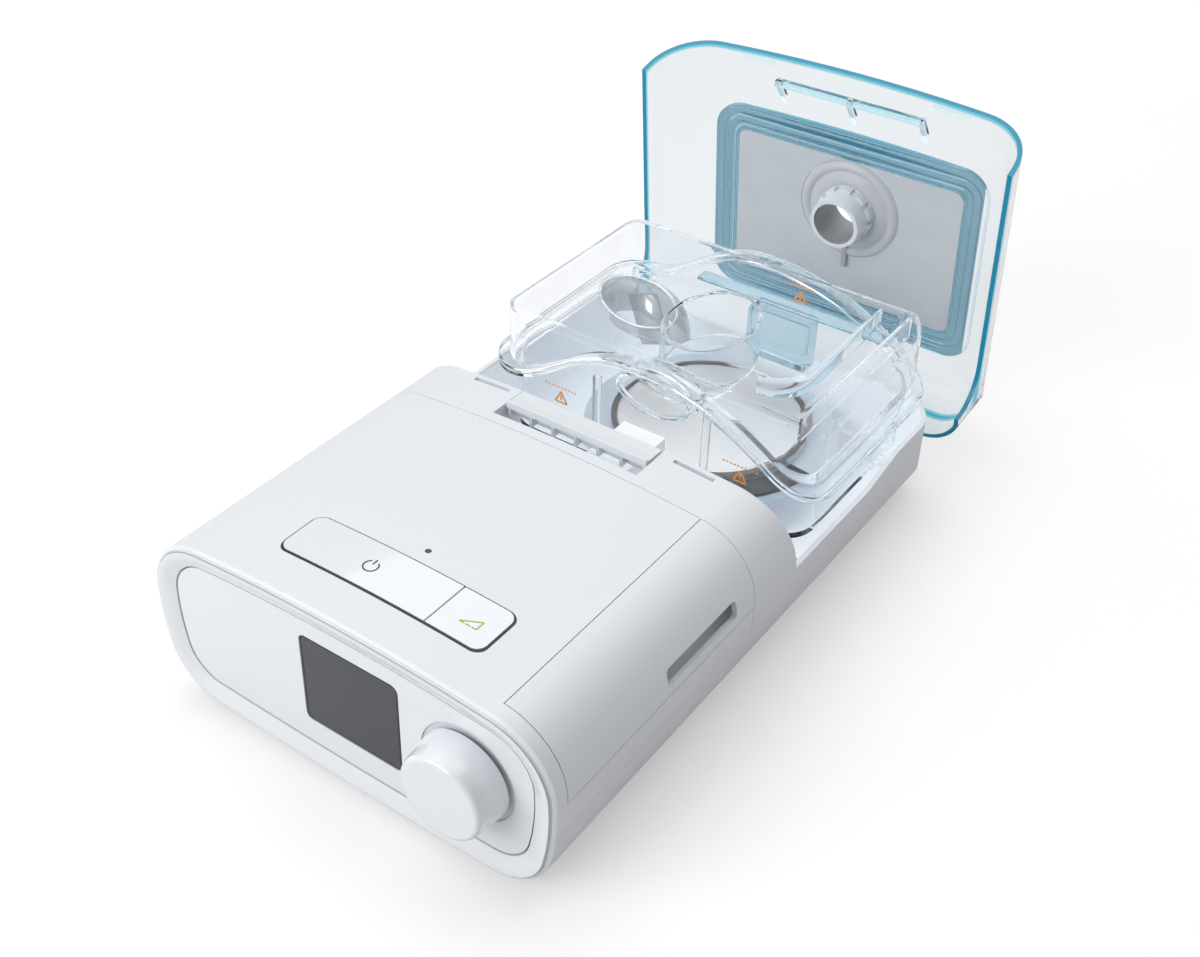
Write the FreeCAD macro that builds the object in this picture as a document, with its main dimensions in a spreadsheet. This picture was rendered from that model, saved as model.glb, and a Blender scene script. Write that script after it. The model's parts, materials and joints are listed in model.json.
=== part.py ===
import FreeCAD
import Part
import Sketcher
import math
import os

from FreeCAD import Placement, Rotation, Vector

# A bedside positive airway pressure machine with its heated humidifier behind it.
# X runs across the front from left to right, Y runs from the front to the back, Z is up.
# Every size below is in millimetres or degrees and y is counted from the rim of the front face;
# "origin_back" moves the finished pieces so that the row's origin lies under the middle of the whole.

SIZES = {
    # shared cross-section: an oval made of shallow arcs joined by round corners
    "body_width": 193.0,
    "body_top": 84.0,
    "body_bottom": 1.4,
    "top_arc": 760.0,
    "bottom_arc": 2000.0,
    "side_arc": 110.0,
    "side_middle": 47.0,
    "top_corner": 29.0,
    "low_corner": 26.0,
    "wall": 2.3,
    "origin_back": 185.412,
    # lengths along the body
    "housing_front": 1.2,
    "seam_back": 131.0,
    "seam_gap": 0.3,
    "bridge_top_back": 157.0,
    "bridge_side_back": 165.0,
    "base_back": 307.2,
    "base_plan_corner": 21.0,
    "waist": 2.7,
    "waist_front": 228.0,
    "waist_back": 262.0,
    "parting": 37.0,
    "parting_gap": 0.15,
    "rim": 47.0,
    "bulkhead": 2.2,
    # face
    "front_bevel": 1.0,
    "bezel_depth": 5.6,
    "bezel_flange": 2.4,
    "bezel_gap": 1.5,
    "bezel_lip": 2.6,
    "bezel_slope": 8.4,
    "panel_set": 2.8,
    "panel_gap": 0.3,
    "panel_thick": 2.2,
    "screen_x": 2.8,
    "screen_z": 44.6,
    "screen_width": 47.0,
    "screen_height": 42.4,
    "screen_corner": 3.0,
    "screen_gap": 0.3,
    "lens_thick": 1.4,
    "module_margin": 3.5,
    "module_thick": 3.4,
    "module_step": 1.5,
    # dial
    "dial_set": 39.2,
    "dial_z": 44.0,
    "dial_front": 13.2,
    "dial_radius": 19.4,
    "dial_face_radius": 17.6,
    "dial_edge": 2.2,
    "dial_wall": 2.4,
    "dial_float": 1.3,
    "dial_recess_gap": 1.6,
    "shaft_radius": 3.0,
    "shaft_fit": 0.05,
    "encoder_side": 14.0,
    "encoder_depth": 7.0,
    "board_thick": 1.6,
    # top keys
    "keys_left": -46.0,
    "keys_right": 49.2,
    "keys_split": 24.7,
    "keys_front": 20.6,
    "keys_back": 43.2,
    "key_corner": 4.5,
    "key_gap": 0.7,
    "key_proud": 0.3,
    "key_thick": 3.2,
    "key_travel": 1.0,
    "tray_drop": 4.6,
    "tray_thick": 1.2,
    "switch_high": 3.0,
    "switch_side": 6.0,
    "board_tail": 12.0,
    "lug_place": 20.0,
    "lug_side": 6.0,
    "sensor_x": 1.4,
    "sensor_y": 50.5,
    "sensor_radius": 1.3,
    # side door with its air slot
    "door_width": 27.0,
    "door_low": 49.5,
    "door_front": 8.0,
    "door_gap": 0.4,
    "slot_front": 70.0,
    "slot_back": 118.0,
    "slot_low": 54.0,
    "slot_high": 62.0,
    "filter_thick": 8.0,
    "filter_set": 8.5,
    "filter_margin": 2.0,
    # blower
    "blower_x": 34.0,
    "blower_y": 74.0,
    "blower_radius": 33.0,
    "blower_low": 30.0,
    "blower_high": 70.0,
    "blower_wall": 2.0,
    "blower_eye": 13.0,
    "duct_width": 21.0,
    "duct_gap": 0.05,
    "duct_low": 50.0,
    "duct_high": 70.0,
    "motor_radius": 14.0,
    "rotor_radius": 27.0,
    "rotor_shaft": 2.0,
    # main board and power socket
    "board_set": 12.5,
    "board_right": -8.0,
    "board_front": 22.0,
    "board_back": 118.0,
    "board_low": 12.0,
    "socket_y": 104.0,
    "socket_z": 27.0,
    "socket_radius": 6.0,
    "socket_bore": 3.3,
    "socket_depth": 9.5,
    "socket_length": 13.0,
    # feet
    "foot_radius": 8.0,
    "foot_rise": 3.2,
    "foot_set": 30.5,
    "foot_front": 20.0,
    "foot_middle": 112.0,
    "foot_back": 284.0,
    # lid latch in the bridge
    "latch_half": 35.2,
    "latch_front": 144.6,
    "latch_back": 156.2,
    "latch_thick": 2.0,
    "latch_gap": 0.8,
    "latch_slot_front": 136.6,
    "latch_slot_low": 66.0,
    "latch_lip": 1.3,
    "latch_ribs": 7,
    "axle_radius": 1.6,
    "axle_back": 151.5,
    "axle_low": 78.4,
    "axle_fit": 0.06,
    "catch_inner": 41.5,
    "catch_outer": 60.5,
    "catch_deep": 2.2,
    "pocket_wall": 3.2,
    "shelf_set": 18.5,
    "shelf_drop": 9.0,
    "shelf_well": 22.0,
    # heater in the floor of the bay
    "heater_x": 3.0,
    "heater_y": 252.5,
    "heater_radius": 47.0,
    "heater_top": 32.0,
    "heater_thick": 3.0,
    "carrier_radius": 60.0,
    "carrier_thick": 3.5,
    "carrier_gap": 0.6,
    "press_travel": 20.5,
    "spring_ring": 28.0,
    "stop_radius": 5.0,
    "spring_radius": 7.0,
    "spring_wire": 0.6,
    "spring_turns": 3.0,
    # water tank
    "tank_half": 80.95,
    "tank_x": 5.45,
    "tank_front": 188.0,
    "tank_back": 299.8,
    "tank_top": 97.0,
    "tank_wall": 1.7,
    "tank_plan_corner": 17.0,
    "tank_top_edge": 5.0,
    "tank_right_edge": 12.5,
    "tank_inset": 3.5,
    "flange_out": 4.5,
    "flange_thick": 1.6,
    "flange_left": 69.5,
    "flange_peak": 94.6,
    "flange_right": 60.0,
    "flange_peak_x": 3.0,
    "flange_rise": 34.0,
    "tank_seal": 0.8,
    "tank_rest": 0.05,
    "tank_plate_thick": 1.2,
    "tank_plate_lap": 3.0,
    "outlet_x": 8.0,
    "outlet_set": 49.0,
    "outlet_half_x": 18.5,
    "outlet_half_y": 26.0,
    "outlet_drop": 22.0,
    "inlet_x": 9.0,
    "inlet_z": 81.0,
    "inlet_half_x": 19.0,
    "inlet_half_z": 10.0,
    # lid, drawn shut and then swung open about its hinge
    "lid_back": 310.0,
    "lid_wall": 2.2,
    "lid_gap": 0.5,
    "lid_plan_corner": 20.0,
    "lid_top_corner": 16.0,
    "lid_low_back": 31.0,
    "lid_edge_corner": 25.0,
    "lid_edge_back": 293.8,
    "hinge_back": 309.0,
    "hinge_low": 8.0,
    "hinge_wall": 304.2,
    "hinge_room": 1.2,
    "lid_open": 84.0,
    "knuckle_radius": 4.2,
    "knuckle_set": 22.5,
    "knuckle_long": 16.0,
    "ear_thick": 5.0,
    "ear_gap": 0.4,
    "pin_radius": 2.0,
    "web_set": 0.6,
    "stop_gap": 0.2,
    "stop_long": 5.0,
    "lid_panel_x": 3.75,
    "lid_panel_half": 74.75,
    "lid_panel_front": 187.5,
    "lid_panel_back": 295.0,
    "lid_panel_low": 77.5,
    "lid_panel_thick": 1.2,
    "lid_frame": 13.4,
    "lid_frame_corner": 15.0,
    "lid_frame_step": 5.0,
    "lid_frame_rib": 1.3,
    "lid_frame_rise": 5.0,
    "port_x": 6.5,
    "port_y": 228.0,
    "port_bore": 11.0,
    "port_wall": 2.0,
    "port_drop": 16.0,
    "port_collar": 14.5,
    "port_teeth": 10,
    "seal_radius": 26.8,
    "latch_bar": 39.0,
}


class Dim:
    """A length that carries both its number and the sheet formula that gives it."""

    def __init__(self, number, formula=None):
        self.number = float(number)
        self.formula = formula or repr(float(number))

    def join(self, other, sign, result):
        return Dim(result, "(%s %s %s)" % (self.formula, sign, other.formula))

    def __add__(self, other):
        other = as_dim(other)
        return self.join(other, "+", self.number + other.number)

    def __sub__(self, other):
        other = as_dim(other)
        return self.join(other, "-", self.number - other.number)

    def __mul__(self, other):
        other = as_dim(other)
        return self.join(other, "*", self.number * other.number)

    def __truediv__(self, other):
        other = as_dim(other)
        return self.join(other, "/", self.number / other.number)

    def __radd__(self, other):
        return as_dim(other) + self

    def __rsub__(self, other):
        return as_dim(other) - self

    def __rmul__(self, other):
        return as_dim(other) * self

    def __neg__(self):
        return as_dim(0) - self

    def __float__(self):
        return self.number


def as_dim(value):
    return value if isinstance(value, Dim) else Dim(value)


class Sizes:
    """The driving dimensions, read back from the spreadsheet."""

    def __init__(self, sheet):
        for row, (alias, value) in enumerate(SIZES.items(), start=1):
            sheet.set("A%d" % row, alias)
            sheet.set("B%d" % row, str(value))
            sheet.setAlias("B%d" % row, alias)
        sheet.recompute()
        for alias in SIZES:
            setattr(self, alias, Dim(sheet.get(alias), "%s.%s" % (sheet.Name, alias)))


doc = FreeCAD.newDocument("airway_machine")
sheet = doc.addObject("Spreadsheet::Sheet", "Sheet")
S = Sizes(sheet)
PIECES = []


# ---------------------------------------------------------------- general helpers

def bind(obj, prop, value):
    obj.setExpression(prop, as_dim(value).formula)


def box(name, x, y, z):
    """A box from three (low, high) pairs."""
    obj = doc.addObject("Part::Box", name)
    for prop, base, (low, high) in zip(("Length", "Width", "Height"), "xyz", (x, y, z)):
        setattr(obj, prop, float(as_dim(high) - low))
        bind(obj, prop, as_dim(high) - low)
        bind(obj, "Placement.Base." + base, low)
    return obj


TURNS = {"X": Rotation(Vector(0, 1, 0), 90), "Y": Rotation(Vector(1, 0, 0), -90), "Z": Rotation()}


def round_bar(name, axis, radius, start, end, centre):
    """A cylinder along an axis from start to end; centre gives the other two coordinates in order."""
    obj = doc.addObject("Part::Cylinder", name)
    obj.Placement = Placement(Vector(), TURNS[axis])
    bind(obj, "Radius", radius)
    bind(obj, "Height", as_dim(end) - start)
    places = dict(zip([a for a in "XYZ" if a != axis], centre))
    places[axis] = start
    for letter, value in places.items():
        bind(obj, "Placement.Base." + letter.lower(), value)
    return obj


def fuse(name, *parts):
    obj = doc.addObject("Part::MultiFuse", name)
    obj.Shapes = list(parts)
    return obj


def cut(name, base, *tools):
    tool = tools[0] if len(tools) == 1 else fuse(name + "_tools", *tools)
    obj = doc.addObject("Part::Cut", name)
    obj.Base = base
    obj.Tool = tool
    return obj


def solid(name, shape):
    obj = doc.addObject("Part::Feature", name)
    obj.Shape = shape
    return obj


def keep(obj, label, swung=False):
    """Names a finished piece and puts it in the row's frame; swung pieces turn with the open lid."""
    obj.Label = label
    if swung:
        angle = math.radians(float(S.lid_open))
        back, low = float(S.hinge_back), float(S.hinge_low)
        pivot = Vector(0, back, low)
        turn = Rotation(Vector(1, 0, 0), -math.degrees(angle))
        swing = Placement(pivot - turn.multVec(pivot) - Vector(0, float(S.origin_back), 0), turn)
        obj.Placement = swing.multiply(obj.Placement)
    else:
        start = obj.Placement.Base.y
        obj.Placement = Placement(Vector(0, -float(S.origin_back), 0), Rotation()).multiply(obj.Placement)
        obj.setExpression("Placement.Base.y", (start - S.origin_back).formula)
    PIECES.append(obj)
    return obj


# ---------------------------------------------------------------- sketches in bodies

def new_body(name):
    return doc.addObject("PartDesign::Body", name)


def origin_plane(body, role):
    return [f for f in body.Origin.OriginFeatures if f.Role == role][0]


def new_sketch(body, name, role, offset=0):
    sketch = body.newObject("Sketcher::SketchObject", name)
    sketch.AttachmentSupport = (origin_plane(body, role), [""])
    sketch.MapMode = "FlatFace"
    sketch.AttachmentOffset = Placement(Vector(0, 0, float(as_dim(offset))), Rotation())
    bind(sketch, "AttachmentOffset.Base.z", offset)
    return sketch


def constrain(sketch, kind, *args):
    value = args[-1]
    index = sketch.addConstraint(Sketcher.Constraint(kind, *args[:-1], float(value)))
    sketch.setExpression("Constraints[%d]" % index, as_dim(value).formula)


def draw_circle(sketch, x, y, radius):
    circle = Part.Circle(Vector(float(as_dim(x)), float(as_dim(y)), 0), Vector(0, 0, 1), float(radius))
    index = sketch.addGeometry(circle, False)
    constrain(sketch, "Radius", index, radius)
    constrain(sketch, "DistanceX", index, 3, x)
    constrain(sketch, "DistanceY", index, 3, y)


def draw_rounded(sketch, left, right, low, high, radius):
    """A rounded rectangle with tangent corners, held by four edges and one radius."""
    x0, x1, y0, y1, r = (float(as_dim(v)) for v in (left, right, low, high, radius))
    ends = [((x0 + r, y0), (x1 - r, y0)), ((x1, y0 + r), (x1, y1 - r)),
            ((x1 - r, y1), (x0 + r, y1)), ((x0, y1 - r), (x0, y0 + r))]
    centres = [(x1 - r, y0 + r), (x1 - r, y1 - r), (x0 + r, y1 - r), (x0 + r, y0 + r)]
    first = sketch.GeometryCount
    for start, end in ends:
        sketch.addGeometry(Part.LineSegment(Vector(*start, 0), Vector(*end, 0)), False)
    for number, centre in enumerate(centres):
        circle = Part.Circle(Vector(*centre, 0), Vector(0, 0, 1), r)
        begin = math.radians(-90 + 90 * number)
        sketch.addGeometry(Part.ArcOfCircle(circle, begin, begin + math.pi / 2), False)
    for number in range(4):
        line, arc = first + number, first + 4 + number
        after = first + (number + 1) % 4
        sketch.addConstraint(Sketcher.Constraint("Tangent", line, 2, arc, 1))
        sketch.addConstraint(Sketcher.Constraint("Tangent", arc, 2, after, 1))
        sketch.addConstraint(Sketcher.Constraint("Horizontal" if number % 2 == 0 else "Vertical", line))
    for number in range(1, 4):
        sketch.addConstraint(Sketcher.Constraint("Equal", first + 4, first + 4 + number))
    constrain(sketch, "Radius", first + 4, radius)
    constrain(sketch, "DistanceY", first, 1, low)
    constrain(sketch, "DistanceX", first + 1, 1, right)
    constrain(sketch, "DistanceY", first + 2, 1, high)
    constrain(sketch, "DistanceX", first + 3, 1, left)


def draw_outline(sketch, points):
    """A closed outline of straight edges through (x, y) points, each pinned by both coordinates."""
    first = sketch.GeometryCount
    count = len(points)
    flat = [Vector(float(as_dim(x)), float(as_dim(y)), 0) for x, y in points]
    for number in range(count):
        sketch.addGeometry(Part.LineSegment(flat[number], flat[(number + 1) % count]), False)
    for number, (x, y) in enumerate(points):
        after = first + (number - 1) % count
        sketch.addConstraint(Sketcher.Constraint("Coincident", after, 2, first + number, 1))
        constrain(sketch, "DistanceX", first + number, 1, x)
        constrain(sketch, "DistanceY", first + number, 1, y)


def pad(body, sketch, length, back=False):
    feature = body.newObject("PartDesign::Pad", sketch.Name + "_pad")
    feature.Profile = sketch
    feature.Reversed = back
    bind(feature, "Length", length)
    return feature


# ---------------------------------------------------------------- the shared oval section

def corner_centre(c1, r1, c2, r2, r, upper):
    """Centre of the circle of radius r that touches two bigger circles from inside."""
    dx, dz = c2[0] - c1[0], c2[1] - c1[1]
    apart = math.hypot(dx, dz)
    a, b = r1 - r, r2 - r
    along = (a * a - b * b + apart * apart) / (2 * apart)
    aside = math.sqrt(a * a - along * along)
    ex, ez = dx / apart, dz / apart
    options = [(c1[0] + ex * along - ez * side, c1[1] + ez * along + ex * side) for side in (aside, -aside)]
    return max(options, key=lambda c: c[0] + (c[1] if upper else -c[1]))


def section_points(inset):
    """Right half of the oval: four arcs as (start, middle, end) points, from the bottom up."""
    half = float(S.body_width) / 2 - inset
    high = float(S.body_top) - inset
    low = float(S.body_bottom) + inset
    top_r, bottom_r, side_r = (float(v) - inset for v in (S.top_arc, S.bottom_arc, S.side_arc))
    corner_top = max(float(S.top_corner) - inset, 2)
    corner_low = max(float(S.low_corner) - inset, 2)
    top_c, low_c, side_c = (0, high - top_r), (0, low + bottom_r), (half - side_r, float(S.side_middle))
    upper = corner_centre(top_c, top_r, side_c, side_r, corner_top, True)
    lower = corner_centre(low_c, bottom_r, side_c, side_r, corner_low, False)

    def heading(origin, target):
        return math.atan2(target[1] - origin[1], target[0] - origin[0])

    spans = [(low_c, bottom_r, -math.pi / 2, heading(low_c, lower)),
             (lower, corner_low, heading(low_c, lower), heading(side_c, lower)),
             (side_c, side_r, heading(side_c, lower), heading(side_c, upper)),
             (upper, corner_top, heading(side_c, upper), heading(top_c, upper)),
             (top_c, top_r, heading(top_c, upper), math.pi / 2)]
    arcs = []
    for centre, radius, begin, end in spans:
        angles = (begin, (begin + end) / 2, end)
        arcs.append([(centre[0] + radius * math.cos(t), centre[1] + radius * math.sin(t)) for t in angles])
    return arcs


def section_wire(inset, back=0.0):
    edges = []
    for side in (1, -1):
        for arc in section_points(inset):
            points = [Vector(side * x, back, z) for x, z in arc]
            edges.append(Part.Arc(*points).toShape())
    return Part.Wire(Part.__sortEdges__(edges))


def oval(inset, front, back):
    """The oval section, drawn in by inset, from front to back."""
    face = Part.Face(section_wire(float(inset), float(front)))
    return face.extrude(Vector(0, float(back) - float(front), 0))


def block(x, y, z):
    low = Vector(float(x[0]), float(y[0]), float(z[0]))
    return Part.makeBox(float(x[1]) - low.x, float(y[1]) - low.y, float(z[1]) - low.z, low)


def rounded_slab(x, y, z, radius, plane="XY"):
    """A block whose four edges along the third axis are rounded."""
    shape = block(x, y, z)
    axis = {"XY": Vector(0, 0, 1), "YZ": Vector(1, 0, 0), "XZ": Vector(0, 1, 0)}[plane]
    edges = [e for e in shape.Edges if abs(abs(e.tangentAt(e.FirstParameter).dot(axis)) - 1) < 1e-6]
    return shape.makeFillet(float(radius), edges)


def tube(axis, radius, start, end, centre):
    x, y, z = {"X": (start, *centre), "Y": (centre[0], start, centre[1]), "Z": (*centre, start)}[axis]
    way = {"X": Vector(1, 0, 0), "Y": Vector(0, 1, 0), "Z": Vector(0, 0, 1)}[axis]
    place = Vector(float(x), float(y), float(z))
    return Part.makeCylinder(float(radius), float(end) - float(start), place, way)


FAR = 400.0
TINY = 1.0
half_width = S.body_width / 2
floor_top = S.body_bottom + S.wall
dial_x = half_width - S.dial_set
door_inner = half_width - S.door_width
filter_outer = half_width - S.filter_set
board_left = S.board_set - half_width
foot_spread = half_width - S.foot_set
knuckle_out = half_width - S.knuckle_set
knuckle_in = knuckle_out - S.knuckle_long
outlet_y = S.tank_front + S.outlet_set
screen_left, screen_right = S.screen_x - S.screen_width / 2, S.screen_x + S.screen_width / 2
screen_low, screen_high = S.screen_z - S.screen_height / 2, S.screen_z + S.screen_height / 2
module_front = S.panel_set + S.panel_thick + 0.1
duct_middle = S.blower_x - S.blower_radius + S.duct_width / 2


# ---------------------------------------------------------------- machine housings

def door_zone(gap):
    """The corner of the body that the side door fills, grown by gap."""
    return block((door_inner - gap, FAR), (S.door_front - gap, S.seam_back + TINY),
                 (S.door_low - gap, FAR))


def key_zone(grow, low):
    """The opening for the two top keys, grown by grow, down to a level."""
    return rounded_slab((S.keys_left - grow, S.keys_right + grow), (S.keys_front - grow, S.keys_back + grow),
                        (low, FAR), S.key_corner + grow)


def foot_recesses(shape, places):
    for x, y in places:
        shape = shape.cut(tube("Z", S.foot_radius + 0.1, -TINY, S.foot_rise, (x, y)))
    return shape


def machine_shell():
    """The full outer tube: its front edge is bevelled and takes the rim of the bezel."""
    bevel = S.front_bevel
    outer = oval(0, S.housing_front + bevel, S.seam_back)
    outer = outer.fuse(Part.makeLoft([section_wire(float(bevel), float(S.housing_front)),
                                      section_wire(0.0, float(S.housing_front + bevel))], True))
    inner = oval(S.wall, -TINY, S.seam_back - S.bulkhead)
    seat = oval(S.bezel_gap, -TINY, S.bezel_flange + 0.05)
    return outer.cut(inner).cut(seat)


def top_housing():
    shape = machine_shell().common(block((-FAR, FAR), (-FAR, FAR), (S.parting, FAR)))
    shape = shape.cut(door_zone(0))
    bulk = oval(S.wall, S.seam_back - S.bulkhead, S.seam_back)
    bulk = bulk.common(block((-FAR, FAR), (-FAR, FAR), (S.parting, FAR)))
    shape = shape.fuse(bulk).fuse(door_bay()).cut(key_zone(S.key_gap, S.body_top - 2 * S.wall - 4))
    shape = shape.cut(tube("Z", S.sensor_radius, S.body_top - 2 * S.wall, FAR, (S.sensor_x, S.sensor_y)))
    shape = shape.cut(duct_hole(0.2))
    keep(solid("top_housing_shape", shape.removeSplitter()), "top_housing")


def door_bay():
    """Partition and floor behind the side door, with a window for the air that passes the filter."""
    thick = S.wall
    lengths = (S.door_front - thick, S.seam_back - S.bulkhead)
    upright = block((door_inner - thick, door_inner), lengths, (S.door_low - thick, FAR))
    window = block((door_inner - 2 * thick, door_inner + TINY), (S.slot_front, S.slot_back),
                   (S.slot_low, S.slot_high))
    floor = block((door_inner - thick, FAR), lengths, (S.door_low - thick, S.door_low - 0.1))
    closer = block((door_inner - thick, FAR), (S.door_front - thick, S.door_front - 0.1),
                   (S.door_low - thick, FAR))
    return upright.cut(window).fuse(floor).fuse(closer).common(oval(S.wall / 2, 0, S.seam_back))


def duct_hole(gap):
    return block((duct_middle - S.duct_width / 2 - gap, duct_middle + S.duct_width / 2 + gap),
                 (S.seam_back - 3 * S.bulkhead, S.seam_back + TINY), (S.duct_low - gap, S.duct_high + gap))


MACHINE_FEET = [(side * foot_spread, y) for side in (-1, 1) for y in (S.foot_front, S.foot_middle)]
BASE_FEET = [(side * foot_spread, S.foot_back) for side in (-1, 1)]


def bottom_housing():
    shape = machine_shell().common(block((-FAR, FAR), (-FAR, FAR), (-FAR, S.parting - S.parting_gap)))
    for x in (board_left + 6, S.board_right - 6):
        for y in (S.board_front + 8, S.board_back - 8):
            post = tube("Z", 3.0, 0, S.board_low, (x, y))
            shape = shape.fuse(post.common(oval(S.wall / 2, 0, S.seam_back)))
    stand = tube("Z", S.motor_radius, floor_top - 0.8, S.blower_low, (S.blower_x, S.blower_y))
    shape = shape.fuse(stand.cut(tube("Z", S.motor_radius - S.wall, 0, FAR, (S.blower_x, S.blower_y))))
    for y in (S.slot_front, S.slot_back):
        rib = block((door_inner + 2, door_inner + 5), (y - 2, y + 2), (0, S.parting - 1))
        shape = shape.fuse(rib.common(oval(S.wall / 2, 0, S.seam_back)))
    shape = shape.cut(tube("X", S.socket_radius + 0.1, -FAR, -half_width + 12, (S.socket_y, S.socket_z)))
    shape = foot_recesses(shape, MACHINE_FEET)
    keep(solid("bottom_housing_shape", shape.removeSplitter()), "bottom_housing")


def feet():
    for number, (x, y) in enumerate(MACHINE_FEET + BASE_FEET, start=1):
        body = new_body("foot_body_%d" % number)
        sketch = new_sketch(body, "foot_sketch_%d" % number, "XY_Plane")
        draw_circle(sketch, x, y, S.foot_radius)
        pad(body, sketch, S.foot_rise)
        keep(body, "foot_%d" % number)


# ---------------------------------------------------------------- face, screen and dial

def front_bezel():
    """The glossy ring round the face: its inside slopes down to the sunk panel."""
    ring = oval(S.bezel_gap + 0.05, 0, S.bezel_flange)
    ring = ring.fuse(oval(S.wall + 0.05, S.bezel_flange, S.bezel_depth))
    mouth = Part.makeLoft([section_wire(float(S.bezel_gap + S.bezel_lip)),
                           section_wire(float(S.bezel_gap + S.bezel_slope), float(S.panel_set))], True)
    ring = ring.cut(mouth).cut(oval(S.bezel_gap + S.bezel_slope, S.panel_set - 0.01, S.bezel_depth + TINY))
    keep(solid("front_bezel_shape", ring), "front_bezel")


def face_panel():
    """The sunk white panel with its screen window and the round seat behind the dial."""
    shape = oval(S.bezel_gap + S.bezel_slope + S.panel_gap, S.panel_set, S.panel_set + S.panel_thick)
    gap = S.screen_gap
    shape = shape.cut(rounded_slab(
        (screen_left - gap, screen_right + gap), (-TINY, FAR), (screen_low - gap, screen_high + gap),
        S.screen_corner + gap, "XZ"))
    shape = shape.cut(tube("Y", S.shaft_radius + 2.5, -TINY, FAR, (dial_x, S.dial_z)))
    seat = tube("Y", S.dial_radius + S.dial_recess_gap, S.panel_set - TINY, S.panel_set + 0.7,
                (dial_x, S.dial_z))
    keep(solid("face_panel_shape", shape.cut(seat)), "face_panel")


def screen_lens():
    body = new_body("screen_lens_body")
    sketch = new_sketch(body, "screen_lens_sketch", "XZ_Plane", -(S.panel_set + 0.3))
    draw_rounded(sketch, screen_left, screen_right, screen_low, screen_high, S.screen_corner)
    pad(body, sketch, S.lens_thick, back=True)
    keep(body, "screen_lens")


def screen_module():
    """The display behind the window: a plate with a raised step that fills the window's opening."""
    margin, step_in = S.module_margin, S.module_step
    slab = box("screen_module_block", (screen_left - margin, screen_right + margin),
               (module_front, module_front + S.module_thick), (screen_low - margin, screen_high + margin))
    step = box("screen_module_step", (screen_left + step_in, screen_right - step_in),
               (S.panel_set + 0.3 + S.lens_thick + 0.05, module_front + TINY),
               (screen_low + step_in, screen_high - step_in))
    keep(fuse("screen_module_whole", slab, step), "screen_module")


def face_board():
    front = module_front + S.module_thick + 0.1
    margin = S.module_margin
    slab = box("face_board_slab", (screen_left - 2 * margin, dial_x + S.dial_radius / 2),
               (front, front + S.board_thick), (screen_low - margin, screen_high + margin))
    hole = round_bar("face_board_hole", "Y", S.shaft_radius + 1.5, front - TINY, front + 2 * S.board_thick,
                     (dial_x, S.dial_z))
    keep(cut("face_board_cut", slab, hole), "face_board")
    return front


def encoder(board_front):
    """Rotary encoder: its case sits between the panel and the board and its neck guides the shaft."""
    side = S.encoder_side / 2
    case = box("encoder_case", (dial_x - side, dial_x + side), (module_front, board_front - 0.1),
               (S.dial_z - side, S.dial_z + side))
    neck = round_bar("encoder_neck", "Y", S.shaft_radius + 1.4, board_front - 2,
                     board_front + S.encoder_depth, (dial_x, S.dial_z))
    bore = round_bar("encoder_bore", "Y", S.shaft_radius + S.shaft_fit, -1,
                     board_front + S.encoder_depth - 1.5, (dial_x, S.dial_z))
    keep(cut("encoder_cut", fuse("encoder_solid", case, neck), bore), "encoder")


def dial_shaft(board_front):
    body = new_body("dial_shaft_body")
    sketch = new_sketch(body, "dial_shaft_sketch", "XZ_Plane", S.dial_front - S.dial_wall - 2)
    draw_circle(sketch, dial_x, S.dial_z, S.shaft_radius)
    pad(body, sketch, S.dial_front - S.dial_wall - 2 + board_front + 2.5, back=True)
    keep(body, "dial_shaft")


def dial():
    """A hollow knob, slightly smaller at its face, with a hub that turns on the shaft."""
    rim = S.panel_set - S.dial_float
    body = new_body("dial_body")
    sketch = new_sketch(body, "dial_sketch", "XY_Plane", S.dial_z)
    hub = S.shaft_radius + S.shaft_fit
    face = -S.dial_front
    draw_outline(sketch, [
        (dial_x, face), (dial_x + S.dial_face_radius, face), (dial_x + S.dial_radius, rim),
        (dial_x + S.dial_radius - S.dial_wall, rim),
        (dial_x + S.dial_face_radius - S.dial_wall, face + S.dial_wall),
        (dial_x + hub + 2.5, face + S.dial_wall), (dial_x + hub + 2.5, rim),
        (dial_x + hub, rim), (dial_x + hub, face + S.dial_wall), (dial_x, face + S.dial_wall)])
    turned = body.newObject("PartDesign::Revolution", "dial_turned")
    turned.Profile = sketch
    turned.ReferenceAxis = (sketch, ["Edge10"])
    turned.Angle = 360
    doc.recompute()
    edges = ["Edge%d" % number for number, edge in enumerate(turned.Shape.Edges, start=1)
             if edge.Curve.TypeId == "Part::GeomCircle"
             and abs(edge.Curve.Radius - float(S.dial_face_radius)) < 1e-3]
    soft = body.newObject("PartDesign::Fillet", "dial_edge")
    soft.Base = (turned, edges)
    bind(soft, "Radius", S.dial_edge)
    keep(body, "dial")


# ---------------------------------------------------------------- top keys and sensor

def key_cap(label, left, right):
    """A key whose top follows the crown of the housing, with a stem that meets its switch."""
    shape = key_zone(0, S.body_top - 20)
    shape = shape.common(block((left, right), (-FAR, FAR), (-FAR, FAR)))
    crown = oval(-S.key_proud, -TINY, S.seam_back).cut(oval(S.key_thick, -2 * TINY, S.seam_back + TINY))
    shape = shape.common(crown)
    centre = ((left + right) / 2, (S.keys_front + S.keys_back) / 2)
    low = S.body_top - S.wall - S.tray_drop - S.tray_thick + S.key_travel - 0.5
    stem = tube("Z", 2.0, low, FAR, centre).common(oval(S.key_thick / 2, 0, S.seam_back))
    keep(solid(label + "_shape", shape.fuse(stem).removeSplitter()), label)


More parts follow.
